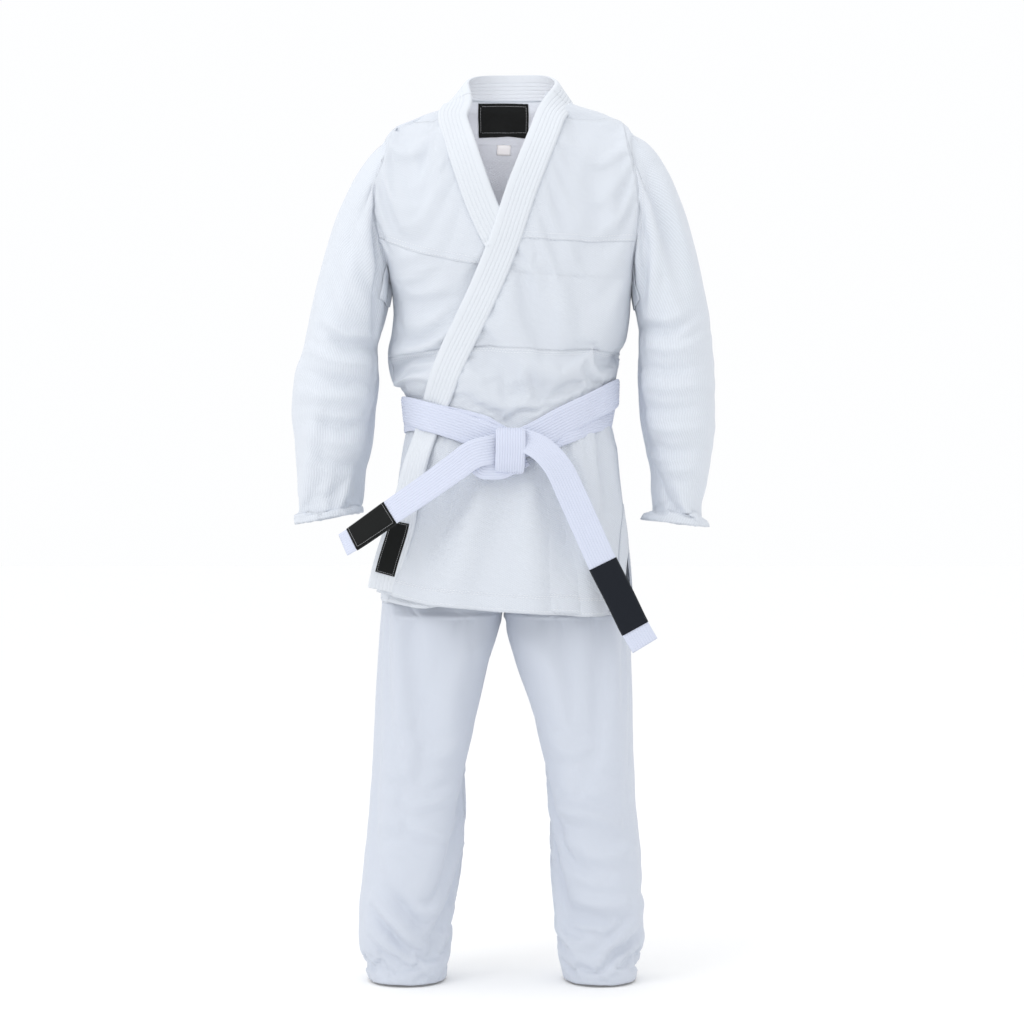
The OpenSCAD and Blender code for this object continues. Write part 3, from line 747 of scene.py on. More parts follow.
LEFT_FOLDS = [
    ([(214, 1300), (232, 1220), (262, 1140)], 11, 4.5, 0.2),
    ([(238, 1300), (262, 1210), (296, 1120)], 12, -4.0, 0.0),
    ([(262, 1284), (290, 1190), (314, 1100)], 12, 3.5, 0.0),
    ([(218, 1230), (232, 1160), (226, 1090)], 9, -5.5, 0.0),
    ([(228, 1180), (244, 1120), (238, 1060)], 9, 4.5, 0.0),
    ([(224, 1050), (262, 1040), (318, 1066)], 8, -6.5, -0.3),
    ([(222, 1022), (270, 1010), (336, 1030)], 10, 5.5, 0.0),
    ([(218, 990), (264, 978), (330, 992)], 8, -5.5, -0.3),
    ([(216, 958), (270, 950), (340, 960)], 10, 4.5, 0.0),
    ([(216, 928), (262, 916), (328, 924)], 8, -5.0, -0.3),
    ([(222, 896), (276, 884), (338, 892)], 10, 4.5, 0.0),
    ([(230, 866), (276, 852), (330, 862)], 8, -5.0, -0.3),
    ([(244, 828), (286, 822), (330, 834)], 10, 3.5, 0.0),
    ([(262, 800), (272, 760), (262, 730)], 10, -3.0, 0.0),
    ([(298, 800), (302, 760), (306, 726)], 10, 3.0, 0.0),
]


class Sleeve:
    """A sleeve: rows from the armhole to the cuff, columns around it from its outer side."""

    def __init__(self, side, rows, folds, seed, stations=170, columns=120):
        self.side = side
        self.s = np.linspace(0, len(rows) - 1, stations)[:, None]
        self.angle = np.linspace(0, 2 * math.pi, columns, endpoint=False)[None]
        k = smooth(rows)(self.s * np.ones_like(self.angle))
        across = np.stack([k[..., 0] - k[..., 2], k[..., 1] - k[..., 3]], -1)
        half = np.linalg.norm(across, axis=-1) / 2
        u = unit(across)
        a = half * power(np.cos(self.angle), TUBE_ROUND)
        x = (k[..., 0] + k[..., 2]) / 2 + a * u[..., 0]
        h = (k[..., 1] + k[..., 3]) / 2 + a * u[..., 1]
        y = 4 - k[..., 4] * power(np.sin(self.angle), TUBE_ROUND) * np.ones_like(self.s)
        p = np.stack([side * x, y, h], -1)
        # the upper end is the armhole's own loop
        top = ARM_TOP[side]
        hh = (ARM_LOW + top) / 2 + (top - ARM_LOW) / 2 * power(np.cos(self.angle[0]), 0.9)
        arm = edge_angles(hh)[1 if side > 0 else 0]
        loop = np.where((np.sin(self.angle[0]) > 0)[:, None], body(arm, hh), body(180 - arm, hh))
        p = p + (loop[None] - p[:1]) * (1 - ease(self.s / 3.2)[..., None])
        front = ease((4 - p[..., 1]) / 50 + 0.5)
        lift = 1.4 * relief(p[..., 0], p[..., 2], folds) * front
        lift += relief(p[..., 0], p[..., 2], higher(folds, 24, 1.2)) * (1 - front) * 0.8
        lift += ripple(self.angle * 60, p[..., 2], seed, 30, 1.2)
        lift *= ease(self.s / 0.8) * (1 - 0.8 * ease((self.s - 12.2) / 0.6))
        self.p = p + normals(p, True) * side * lift[..., None]

    def finish(self):
        self.n = normals(self.p, True) * self.side


arms = {"left": Sleeve(1, ARM_LEFT, LEFT_FOLDS, 4), "right": Sleeve(-1, ARM_RIGHT, RIGHT_FOLDS, 3)}

# ---------------------------------------------------------------- the jacket's drape


def drape(grids, frames, cloth, gravity=1.0, cap=14.0):
    """Let grids of points settle together as one cloth, and return how far each point moved.

    A grid is (points, wrap, step down, step across, hold, slack): hold from 0, free, to 1,
    fixed, and slack from 0 to 1 of the cloth's spare length.
    """
    points, faces, holds, slacks, spans = [], [], [], [], []
    for p, wrap, dr, dc, hold, slack in grids:
        rows = np.unique(np.append(np.arange(0, p.shape[0], dr), p.shape[0] - 1))
        cols = np.arange(0, p.shape[1], dc)
        if not wrap:
            cols = np.unique(np.append(cols, p.shape[1] - 1))
        spans.append((rows, cols))
        pick = np.ix_(rows, cols)
        start = sum(len(q) for q in points)
        faces.append(quads(len(rows), len(cols), wrap)[0] + start)
        points.append(p[pick].reshape(-1, 3))
        holds.append(hold[pick].ravel())
        slacks.append(slack[pick].ravel())
    points, faces = np.concatenate(points), np.concatenate(faces)
    holds, slacks = np.concatenate(holds), np.concatenate(slacks)
    tree = KDTree(len(points))
    for i, q in enumerate(points):
        tree.insert(q, i)
    tree.balance()
    first = np.arange(len(points))
    for i, q in enumerate(points):
        first[i] = min(k for _, k, _ in tree.find_range(q, 1.2))
    first = first[first]
    used, index = np.unique(first, return_inverse=True)
    faces = index[faces]
    good = np.array([len(set(f)) == 4 for f in faces])
    mesh = bpy.data.meshes.new("drape")
    mesh.from_pydata((points[used] / 1000).tolist(), [], faces[good].tolist())
    obj = bpy.data.objects.new("drape", mesh)
    bpy.context.scene.collection.objects.link(obj)
    pin = obj.vertex_groups.new(name="hold")
    spare = obj.vertex_groups.new(name="slack")
    strong = np.zeros(len(used))
    np.maximum.at(strong, index, holds)
    loose = np.ones(len(used))
    np.minimum.at(loose, index, slacks)
    for i in range(len(used)):
        pin.add([i], float(strong[i]), "REPLACE")
        spare.add([i], float(1 - loose[i]), "REPLACE")
    mod = obj.modifiers.new("cloth", "CLOTH")
    c = mod.settings
    c.quality = 5
    c.mass = cloth["mass"]
    c.tension_stiffness = cloth["stiff"]
    c.compression_stiffness = cloth["stiff"]
    c.shear_stiffness = cloth["shear"]
    c.bending_stiffness = cloth["bend"]
    c.vertex_group_mass = "hold"
    c.pin_stiffness = cloth["goal"]
    c.vertex_group_shrink = "slack"
    c.shrink_min = -cloth["spare"]
    c.shrink_max = 0.0
    c.air_damping = 3
    c.effector_weights.gravity = gravity
    mod.collision_settings.use_collision = False
    mod.collision_settings.use_self_collision = False
    mod.point_cache.frame_start = 1
    mod.point_cache.frame_end = frames + 1
    scene = bpy.context.scene
    for f in range(1, frames + 1):
        scene.frame_set(f)
    view = obj.evaluated_get(bpy.context.evaluated_depsgraph_get())
    out = np.empty(len(used) * 3)
    view.data.vertices.foreach_get("co", out)
    move = out.reshape(-1, 3) * 1000 - points[used]
    size = np.linalg.norm(move, axis=1, keepdims=True)
    move *= cap * np.tanh(size / cap) / np.maximum(size, 1e-6)
    bpy.data.objects.remove(obj)
    scene.frame_set(1)
    move = move[index]
    moves, start = [], 0
    for (p, wrap, *_), (rows, cols) in zip(grids, spans):
        m = move[start : start + len(rows) * len(cols)].reshape(len(rows), len(cols), 3)
        start += len(rows) * len(cols)
        if wrap:
            m = np.concatenate([m, m[:, :1]], axis=1)
            cols = np.append(cols, p.shape[1])
        m = smooth(np.column_stack([rows, m.reshape(len(rows), -1)]))(np.arange(p.shape[0]))
        m = m.reshape(p.shape[0], len(cols), 3).transpose(1, 0, 2)
        m = smooth(np.column_stack([cols, m.reshape(len(cols), -1)]))(np.arange(p.shape[1]))
        moves.append(m.reshape(p.shape[1], p.shape[0], 3).transpose(1, 0, 2))
    return moves


HEAVY = {"mass": 0.5, "stiff": 40, "shear": 20, "bend": 12, "goal": 1.0, "spare": 0.045}


def settle_jacket():
    """Let the jacket's body and sleeves hang from what holds them."""
    grids = []
    for panel in (over, under, back):
        hh = panel.h[:, None] * np.ones((1, panel.columns))
        hold = 0.10 + 0.9 * np.clip(panel.tight * 1.3, 0, 1)
        hold = np.maximum(hold, 0.9 * ease((hh - 1365) / 30))
        hold = np.maximum(hold, 0.85 * (1 - ease(panel.edge / 16)) * (hh > ARM_LOW))
        lapel = angle_at(OVER(hh)[..., 0], hh)
        if panel is over:
            hold = np.maximum(hold, 0.8 * np.exp(-(((lapel - panel.angle) / 10) ** 2)))
        if panel is under:
            hold = np.maximum(hold, 0.8 * ease((panel.angle + 5 - lapel) / 10))
            lapel = angle_at(UNDER(hh)[..., 0], hh)
            hold = np.maximum(hold, 0.8 * np.exp(-(((lapel - panel.angle) / 12) ** 2)))
        slack = 0.35 + 0.65 * np.exp(-(((hh - 1010) / 90) ** 2))
        grids.append((panel.p, False, 2, 2, hold, np.where(hh < 850, 0.3, slack)))
    for arm in arms.values():
        s = arm.s * np.ones_like(arm.angle)
        hold = 0.10 + 0.6 * ease((s - 12.4) / 0.6)
        hold = np.maximum(hold, 0.85 * (1 - ease(s / 0.5)))
        slack = 0.45 + 0.55 * np.exp(-(((s - 8) / 3) ** 2))
        grids.append((arm.p, True, 2, 2, hold, slack))
    for target, move in zip((over, under, back, *arms.values()), drape(grids, 24, HEAVY)):
        target.p = target.p + move
        target.finish()


settle_jacket()
cut = int(np.argmin(np.abs(over.h - SEAM)))
for name, panel in (("left", over), ("right", under), ("back", back)):
    upper = "jacket_back" if name == "back" else "chest_" + name
    keep(shell(upper, panel.p[cut:], JACKET), "jacket")
    keep(shell("skirt_" + name, panel.p[: cut + 1], JACKET), "jacket")


def bend_arm(obj):
    bend(obj)


for name, arm in arms.items():
    # the sleeve starts a little inside its armhole, so that no gap shows
    first = arm.p[0]
    root = first - [arm.side * 8.0, 0, 0] + (first.mean(axis=0) - first) * 0.03
    root[:, 2] += 8.0 * ease((first[:, 2] - 1320) / 36)
    p = np.concatenate([root[None], arm.p])
    p = p if arm.side > 0 else p[:, ::-1]
    obj = shell("sleeve_" + name, p[::-1][:, ::-1], SLEEVE, wrap=True)
    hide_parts("sleeve_" + name, "forearm_" + name)
    bend_arm(obj)

# ---------------------------------------------------------------- trousers

# Height, outer edge, inner edge, depth to either side.
LEG_RIGHT = [
    [4, 213, 93, 72], [24, 217, 91, 74], [45, 222, 88, 75], [69, 225, 87, 77], [100, 226, 82, 79],
    [131, 226, 77, 80], [173, 222, 70, 84], [214, 219, 64, 86], [262, 214, 63, 87],
    [291, 211, 64, 88], [340, 208, 62, 90], [381, 206, 56, 92], [443, 205, 41, 95],
    [520, 200, 21, 98], [554, 197, 13, 99], [586, 192, 3, 100],
]
LEG_LEFT = [
    [4, 211, 98, 72], [24, 216, 94, 74], [40, 219, 91, 75], [84, 222, 87, 77], [117, 223, 84, 79],
    [163, 224, 81, 82], [194, 224, 79, 85], [229, 220, 77, 86], [262, 214, 75, 87],
    [291, 211, 74, 88], [329, 208, 72, 90], [381, 205, 62, 92], [443, 205, 45, 95],
    [520, 206, 17, 98], [554, 205, 9, 99], [586, 199, 3, 100],
]
HIPS = smooth([
    [586, -192, 199, 104, 108], [716, -172, 178, 104, 106],
    [846, -143, 155, 100, 102], [890, -136, 151, 97, 99],
])
RIGHT_LEG_FOLDS = [
    ([(-150, 292), (-112, 300), (-72, 316)], 10, -5.0, 0.3),
    ([(-198, 150), (-168, 118), (-150, 96), (-112, 62)], 10, -6.0, 0.4),
    ([(-206, 128), (-176, 96), (-150, 66)], 10, 5.0, 0.0),
    ([(-190, 178), (-150, 132), (-108, 104), (-84, 96)], 12, 5.0, 0.0),
    ([(-88, 150), (-120, 128), (-146, 132)], 10, -4.0, 0.0),
    ([(-214, 232), (-170, 244), (-120, 226)], 12, 4.0, 0.0),
    ([(-212, 330), (-170, 322), (-128, 336)], 12, 3.5, 0.0),
    ([(-66, 262), (-100, 250), (-140, 262)], 10, -4.0, 0.2),
    ([(-20, 560), (-60, 520), (-84, 450), (-90, 380)], 18, -4.5, 0.0),
    ([(-60, 580), (-104, 520), (-124, 450), (-128, 380)], 20, 4.0, 0.0),
    ([(-176, 590), (-170, 520), (-174, 440)], 18, -4.0, 0.0),
    ([(-66, 400), (-104, 372), (-150, 380)], 12, -3.5, 0.2),
    ([(-196, 420), (-160, 400), (-130, 410)], 12, 3.0, 0.0),
]
LEFT_LEG_FOLDS = [
    ([(80, 288), (130, 284), (184, 262)], 10, -5.5, 0.3),
    ([(76, 262), (120, 258), (170, 240)], 12, 4.5, 0.0),
    ([(110, 150), (160, 142), (216, 140)], 10, -5.5, -0.3),
    ([(214, 140), (200, 104), (176, 74), (146, 44)], 10, -5.5, 0.3),
    ([(216, 116), (196, 84), (168, 52)], 10, 4.5, 0.0),
    ([(90, 122), (130, 118), (176, 122)], 12, 5.0, 0.0),
    ([(84, 92), (120, 74), (150, 78)], 10, -4.0, 0.0),
    ([(218, 236), (180, 216), (140, 218)], 12, -4.0, 0.0),
    ([(84, 216), (120, 204), (160, 186)], 12, 4.0, 0.0),
    ([(204, 330), (160, 342), (120, 330)], 12, 3.5, 0.0),
    ([(20, 560), (62, 520), (86, 450), (92, 380)], 18, -4.5, 0.0),
    ([(70, 580), (112, 520), (132, 450), (136, 380)], 20, 4.0, 0.0),
    ([(184, 590), (178, 520), (180, 440)], 18, -4.0, 0.0),
    ([(74, 400), (110, 376), (150, 386)], 12, -3.5, 0.2),
]
CROTCH, HIP, BAND_LOW, BAND_HIGH = 584.0, 716.0, 846.0, 886.0


def hip(angle, h, off=0.0):
    """A point of the trousers above the legs, with the same angles as the jacket's body."""
    angle, h = np.broadcast_arrays(np.radians(np.asarray(angle, float)), np.asarray(h, float))
    return section(HIPS(h), angle, h, off, 0.9)


class Leg:
    """Half of the trousers: rows from the hem up, columns from the front seam round the
    outer side to the back seam. Below the crotch both edges meet at the inner seam."""

    def __init__(self, side, rows, folds, seed, columns=132):
        self.side = side
        self.h = np.concatenate([np.linspace(4, CROTCH, 170), np.linspace(CROTCH, HIP, 36)[1:]])
        self.u = np.linspace(-1, 1, columns)[None]
        hh = self.h[:, None] * np.ones_like(self.u)
        k = smooth(rows)(np.minimum(hh, CROTCH))
        angle = self.u * math.pi
        half = (k[..., 0] - k[..., 1]) / 2
        x = (k[..., 0] + k[..., 1]) / 2 + half * power(np.cos(angle), TUBE_ROUND)
        y = k[..., 2] * power(np.sin(angle), TUBE_ROUND)
        ring = np.stack([side * x, y, hh], -1)
        t = np.clip((hh - CROTCH) / (HIP - CROTCH), 0, 1)[..., None]
        w = np.sqrt(t * (2 - t))
        p = ring * (1 - w) + hip(side * (90 + 90 * self.u), hh) * w
        front = ease(-p[..., 1] / 60 + 0.5)
        lift = 1.4 * relief(p[..., 0], p[..., 2], folds) * front
        lift += relief(p[..., 0], p[..., 2], higher(folds, 30, 1.3)) * (1 - front) * 0.9
        lift += ripple(self.u * 200, hh, seed, 34, 1.3) * (1 - np.abs(self.u) ** 6)
        lift *= 1 - ease((hh - 600) / 100)
        lift *= ease((hh + 10) / 40)
        self.p = p - normals(p) * side * lift[..., None]

    def finish(self):
        self.n = normals(self.p) * -self.side

    def at(self, u, h, off=0.0):
        """Points on the leg at u and height, moved out along its normals."""
        u, h = np.broadcast_arrays(np.asarray(u, float), np.asarray(h, float))
        r = np.interp(h, self.h, np.arange(len(self.h)))
        p, n = between(r, (u + 1) / 2 * (self.p.shape[1] - 1), self.p, self.n)
        n = unit(n)
        return p + n * off, n


legs = {
    "right": Leg(-1, LEG_RIGHT, RIGHT_LEG_FOLDS, 5),
    "left": Leg(1, LEG_LEFT, LEFT_LEG_FOLDS, 6),
}
LIGHT = {"mass": 0.3, "stiff": 30, "shear": 12, "bend": 5, "goal": 1.0, "spare": 0.035}


def settle_legs():
    """Let the legs hang from the hips."""
    grids = []
    for leg in legs.values():
        hh = leg.h[:, None] * np.ones_like(leg.u)
        hold = 0.10 + 0.9 * ease((hh - 560) / 60)
        hold = np.maximum(hold, 0.8 * (np.abs(leg.u * np.ones_like(hh)) > 0.999))
        hold = np.maximum(hold, 0.5 * ease((30 - hh) / 20))
        slack = 0.35 + 0.65 * np.exp(-(((hh - 120) / 120) ** 2))
        grids.append((leg.p, False, 2, 2, hold, slack))
    for leg, move in zip(legs.values(), drape(grids, 24, LIGHT)):
        leg.p = leg.p + move
        leg.finish()


settle_legs()


def bend_leg(obj):
    bend(obj)


for name, leg in legs.items():
    p = leg.p if leg.side > 0 else leg.p[:, ::-1]
    obj = shell("leg_" + name, p[:, ::-1], TROUSER, 1.2)
    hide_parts("leg_" + name, "knee_" + name, "thigh_" + name)
    bend_leg(obj)

for name, start in (("seat_front", -90), ("seat_back", 90)):
    angles = np.linspace(start, start + 180, 90)[None]
    hh = np.linspace(HIP, BAND_LOW + 4, 40)[:, None]
    keep(shell(name, hip(angles, hh), TROUSER, 1.2), "trousers")
angles = np.linspace(0, 360, 180, endpoint=False)[None]
hh = np.linspace(BAND_LOW, BAND_HIGH, 16)[:, None]
p = hip(angles, hh, 1.0)
p += normals(p, True) * ripple(angles * 3, hh * 0.3, 9, 8, 0.8)[..., None]
keep(shell("waistband", p, TROUSER, 3.0, wrap=True), "trousers")

# ---------------------------------------------------------------- collar


def band_frame(points, up):
    """Directions across and out of a band whose middle runs along points."""
    t = unit(np.gradient(points, axis=0))
    side = unit(np.cross(t, up))
    return side, unit(np.cross(side, t))


def lapel_path(panel, centre, low, high, n, off):
    h = np.linspace(low, high, n)
    return panel.at(angle_at(centre(h)[..., 0], h), h, off)


COLLAR_W, COLLAR_T = 48.0, 6.0
profile = band_profile(COLLAR_W, COLLAR_T, 6, 0.9, -0.45, 0.8, both=True)


def collar_run():
    """The collar's middle, from the over lapel's lower end round the neck and down the under lapel."""
    a, na = lapel_path(over, OVER, HEM + 6, 1372, 170, 0.4)
    angles = np.array([50, 70, 90, 115, 150, 180, 210, 245, 270, 288, 306.0])
    heights = np.array([1397, 1407, 1415, 1425, 1431, 1432, 1430, 1424, 1415, 1406, 1396.0])
    fine = smooth(np.column_stack([np.arange(11), angles, heights]))(np.linspace(0, 10, 90))
    angles, heights = fine[:, 0], fine[:, 1]
    neck = body(angles, heights, 0.6)
    nn = unit(np.cross(body(angles + 2, heights) - neck, body(angles, heights + 6) - neck))
    b, nb = lapel_path(under, UNDER, 1160, 1372, 64, 0.4)
    p = np.concatenate([a, neck, b[::-1]])
    n = np.concatenate([na, nn, nb[::-1]])
    s = lengths(p)
    q = np.linspace(0, s[-1], 620)
    p = np.stack([np.interp(q, s, p[:, k]) for k in range(3)], -1)
    n = np.stack([np.interp(q, s, n[:, k]) for k in range(3)], -1)
    soft = np.ones(15) / 15
    for _ in range(2):
        for g in (p, n):
            for k in range(3):
                g[7:-7, k] = np.convolve(g[:, k], soft, "valid")
    # the over lapel's loose lower end hangs facing the front
    loose = (ease((800 - p[:, 2]) / 90) * (np.arange(620) < 310))[:, None]
    p = p + loose * np.array([0.0, -10.0, 0.0])
    return p, unit(unit(n) * (1 - 0.75 * loose) + loose * np.array([0.0, -0.75, 0.0]))


collar, up = collar_run()
collar_side, collar_out = band_frame(collar, up)
high = np.flatnonzero(collar[:, 2] > 1398)
cuts = [0, int(high[0]), int(high[-1]), len(collar) - 1]
for name, first, last in zip(("lapel_left", "collar_neck", "lapel_right"), cuts, cuts[1:]):
    part = slice(first, last + 1)
    obj = sweep(name, collar[part], collar_side[part], collar_out[part], profile, COLLAR, held=None)
    keep(obj, "jacket")

# ---------------------------------------------------------------- trims


def trim(name, points, side, material, thick=1.0, puff=0.0):
    """A band or patch laid on a limb's cloth."""
    p = points[:, ::-1] if side > 0 else points
    obj = shell(name, p, material, thick, puff=puff)
    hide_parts(name)
    return obj


def thread_rows(name, rows, material=THREAD, **size):
    """Rows of stitches, each a line of points and its normals, in one piece."""
    parts = [stitches(name + "_row", line, up, material, **size) for line, up in rows]
    parts = [o for o in parts if o is not None]
    bpy.ops.object.select_all(action="DESELECT")
    for o in parts:
        o.select_set(True)
    bpy.context.view_layer.objects.active = parts[0]
    if len(parts) > 1:
        bpy.ops.object.join()
    obj = bpy.context.view_layer.objects.active
    obj.name = obj.data.name = name
    return obj


def edging(p, side, out, half, raised, skip, inset):
    """Lines of stitching round a band: along its edges, and across it near its ends."""
    middle = slice(skip, len(p) - skip)
    rows = [((p + side * k + out * raised)[middle], out[middle]) for k in (-half, half)]
    for i in (inset, -inset - 1):
        ends = np.stack([p[i] - side[i] * half, p[i] + side[i] * half])
        rows.append((resample(ends, 14) + out[i] * raised, np.tile(out[i], (14, 1))))
    return rows


HEM_TOP, KNEE_LOW, KNEE_HIGH = 27.0, 178.0, 536.0
for name, leg in legs.items():
    hem = (leg.p + leg.n * 1.3)[leg.h <= HEM_TOP]
    bend_leg(trim("hem_" + name, hem, leg.side, TROUSER))
    u = np.linspace(-0.995, 0.995, 300)
    lines = [leg.at(u, 0 * u + h, 1.5) for h in (8.0, 22.5, 25.5)]
    # knee patch, whose upper edge slants and whose lower edge sags
    h = np.linspace(KNEE_LOW, KNEE_HIGH, 110)[:, None]
    up = (h - KNEE_LOW) / (KNEE_HIGH - KNEE_LOW)
    v = np.linspace(0, 1, 46)[None]
    height = h + up * (6 - 12 * v) - 4 * np.sin(v * math.pi) * (1 - up)
    p, n = leg.at(-0.955 + 0.90 * v + 0 * h, height, 1.4)
    bend_leg(trim("knee_patch_" + name, p, leg.side, TROUSER, 1.2, puff=0.5))
    lines += [(p[i] + n[i] * 0.5, n[i]) for i in (1, 3, -2, -4)]
    lines += [(p[:, j] + n[:, j] * 0.4, n[:, j]) for j in (1, 2, -2, -3)]
    # outer side seam
    h = np.linspace(30, 590, 260)
    lines.append(leg.at(0 * h + 0.035, h, 0.5))
    bend_leg(thread_rows("leg_stitching_" + name, lines))

CUFF_START = 12.35
for name, arm in arms.items():
    ring = np.concatenate([arm.p, arm.p[:, :1]], axis=1)
    rn = np.concatenate([arm.n, arm.n[:, :1]], axis=1)
    station = arm.s[:, 0]
    cuff = (ring + rn * 1.3)[station >= CUFF_START]
    bend_arm(trim("cuff_" + name, cuff, arm.side, SLEEVE))
    around_cuff = [int(np.argmin(np.abs(station - k))) for k in (12.4, 12.55, 12.9)]
    lines = [(ring[i] + rn[i] * 1.6, rn[i]) for i in around_cuff]
    # underarm piece
    sub = np.ix_((station > 0.25) & (station < 4.2), np.arange(47, 74))
    bend_arm(trim("gusset_" + name, (arm.p + arm.n * 1.3)[sub], arm.side, SLEEVE))
    p, n = (arm.p + arm.n * 1.7)[sub], arm.n[sub]
    lines += [(p[:, j], n[:, j]) for j in (1, -2)]
    # armhole seam
    lines.append((ring[3] + rn[3] * 0.3, rn[3]))
    bend_arm(thread_rows("sleeve_stitching_" + name, lines))

# crotch gusset: a saddle of cloth under the seam
arc = [(3, -97, 690), (3, -90, 640), (3, -62, 606), (3, -24, 592)]
arc += [(3, 24, 592), (3, 62, 606), (3, 90, 640), (3, 98, 690)]
across = np.linspace(-11, 11, 9)[None, :, None] * np.array([1.0, 0, 0])
keep(shell("crotch_gusset", rounded(arc, 50)[:, None] + across, TROUSER, 1.2), "trousers")


def inside(x, h, off):
    """Points on the back panel's inner face, that far to the side and that high."""
    angle = 180 - angle_at(x + 0 * h, h + 0 * x)
    return back.at(angle, h + 0 * x, off)[0]


# label and tag inside the neck
LABEL_HALF = 41
h = np.linspace(1364, 1408, 20)[:, None]
x = np.linspace(LABEL_HALF, -LABEL_HALF, 24)[None]
p = inside(x, h + 1.5 * np.cos(x / LABEL_HALF * 1.5), -3.4)
keep(shell("neck_label", p[:, ::-1], BLACK, 1.0), "jacket")
border = [
    (line + FACING * 0.25, np.tile(FACING, (len(line), 1)))
    for line in (p[2, 1:-1], p[-3, 1:-1], p[2:-2, 1], p[2:-2, -2])
]
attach(thread_rows("label_border", border, EDGE, length=2.2, gap=0.5, wide=0.7), "jacket")
p = inside(np.linspace(10, -12, 8)[None], np.linspace(1341, 1357, 6)[:, None], -3.2)
keep(shell("size_tag", p[:, ::-1], TAG, 0.5), "jacket")

# patch on the over lapel's lower end
where = (collar[:, 2] > 648) & (collar[:, 2] < 730) & (np.arange(len(collar)) < 310)
side, out = collar_side[where], collar_out[where]
p = collar[where] + out * (COLLAR_T + 0.3)
keep(sweep("lapel_patch", p, side, out, band_profile(32, 1.2, 2, 0.0), BLACK), "jacket")
border = edging(p, side, out, 13.0, 1.3, 0, 1)
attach(thread_rows("lapel_patch_border", border, EDGE, length=2.4, gap=0.6, wide=0.7), "jacket")

# chest layers, seams and skirt trims
rows = []


def yoke(name, panel, low):
    """A second layer over a shoulder, from the armhole to beneath the lapel."""
    h = np.interp(np.linspace(0, 1, 50)[None], [0, 1], low)
    v, t = np.linspace(0, 1, 60)[:, None], np.linspace(0, 1, 50)[None]
    h = h * (1 - v) + 1372 * v
    edges = edge_angles(h)
    if panel is over:
        outer, lapel = np.clip(edges[1] - 1, -80, 80), OVER(h)[..., 0] + 10
    else:
        outer, lapel = np.clip(edges[0] + 1, -80, 80), UNDER(h)[..., 0] - 10
    p, n = panel.at(outer + (angle_at(lapel, h) - outer) * t, h, 0.55)
    keep(shell(name, p[:, ::-1] if panel is over else p, JACKET, 0.9), "jacket")
    rows.extend((p[i] + n[i] * 0.2, n[i]) for i in (1, 3))


def vent(name, panel, at_end, off):
    """A facing strip down one side of a vent."""
    h = np.linspace(HEM + 1, VENT, 60)[:, None]
    t = np.linspace(0.0, 1.0, 12)[None]
    edge = np.interp(h, panel.h, panel.end if at_end else panel.start)
    w = 12.0 * (1 if at_end else -1)
    p, n = panel.at(edge - w * t - 0.2 * w / 12, h + 0 * t, off)
    keep(shell(name, p[:, ::-1] if at_end else p, JACKET, 1.1), "jacket")
    rows.extend((p[:, j] + n[:, j] * 0.3, n[:, j]) for j in (2, -2))


yoke("yoke_left", over, (1172, 1170))
yoke("yoke_right", under, (1180, 1122))
q = np.linspace(0.02, 0.98, 260)
for panel in (over, under, back):
    for height in (SEAM - 3.5, SEAM - 7, HEM + 5, HEM + 24, HEM + 27):
        h = 0 * q + height
        start, end = np.interp(h, panel.h, panel.start), np.interp(h, panel.h, panel.end)
        rows.append(panel.at(start + (end - start) * q, h, 0.2))
vent("vent_front_left", over, True, 1.4)
vent("vent_back_left", back, False, 1.4)
vent("vent_front_right", under, False, -3.6)
vent("vent_back_right", back, True, 1.4)
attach(thread_rows("jacket_stitching", rows), "jacket")

# ---------------------------------------------------------------- belt

BELT_W, BELT_T = 45.0, 4.0
belt_outline = band_profile(BELT_W, BELT_T, 10, 0.7, -0.86, 0.86, both=True)


def turn(off, drops, n=480):
    """One turn of the belt: its middle, and its directions across and out. Drops are how
    far it lies below the belt's height at eight angles."""
    angles = np.linspace(-180, 180, n, endpoint=False)
    front = np.cos(np.radians(angles)) > 0
    h = belt_height(angles) - np.interp(angles, [-180, -110, -60, -12, 14, 60, 100, 180], drops)
    x = body(angles, h)[..., 0]
    over_lapel = np.where(front, np.exp(-(((x - OVER(h)[..., 0]) / 34) ** 2)), 0)
    near_knot = ease((60 - np.abs(x - 13)) / 40) * front
    off = off + 6.2 * over_lapel + 2 * near_knot
    p = body(angles, h, off)
    t = unit(np.roll(p, -1, axis=0) - np.roll(p, 1, axis=0))
    out = unit(np.cross(t, body(angles, h + 12, off) - p))
    out = np.where((out * unit(p * [1, 1, 0])).sum(-1, keepdims=True) < 0, -out, out)
    return p, unit(np.cross(t, out)), out


inner = turn(1.2, [24, 19, 7, -9, 9, 28, 38, 24])
outer = turn(5.6, [0] * 8)
keep(sweep("belt_inner", *inner, belt_outline, BELT, closed=True), "jacket")
keep(sweep("belt_outer", *outer, belt_outline, BELT, closed=True), "jacket")

KNOT = [
    (12, -134, 862), (12, -150, 871), (12, -163, 864), (12, -168, 845), (11, -167, 824),
    (10, -159, 811), (9, -144, 809), (8, -134, 816),
]
knot = rounded(KNOT, 70)
knot_up = np.stack([0 * knot[:, 0], knot[:, 1] + 144, knot[:, 2] - 841], -1)
side, out = band_frame(knot, unit(knot_up))
tilt = np.linspace(0.02, -0.30, 70)[:, None] * ease((np.arange(70) - 20) / 40)[:, None]
side = unit(side + tilt * unit(np.gradient(knot, axis=0)))
outline = band_profile(46, 5, 11, 1.0, -0.86, 0.86)
keep(sweep("belt_knot", knot, side, out, outline, BELT), "jacket")
LOOP = [
    (34, -148, 829), (14, -153, 817), (-8, -157, 809), (-27, -160, 809), (-39, -161, 820),
    (-34, -160, 837), (-14, -156, 851), (6, -150, 858),
]
loop = rounded(LOOP, 80)
side, out = band_frame(loop, np.tile(FACING, (80, 1)))
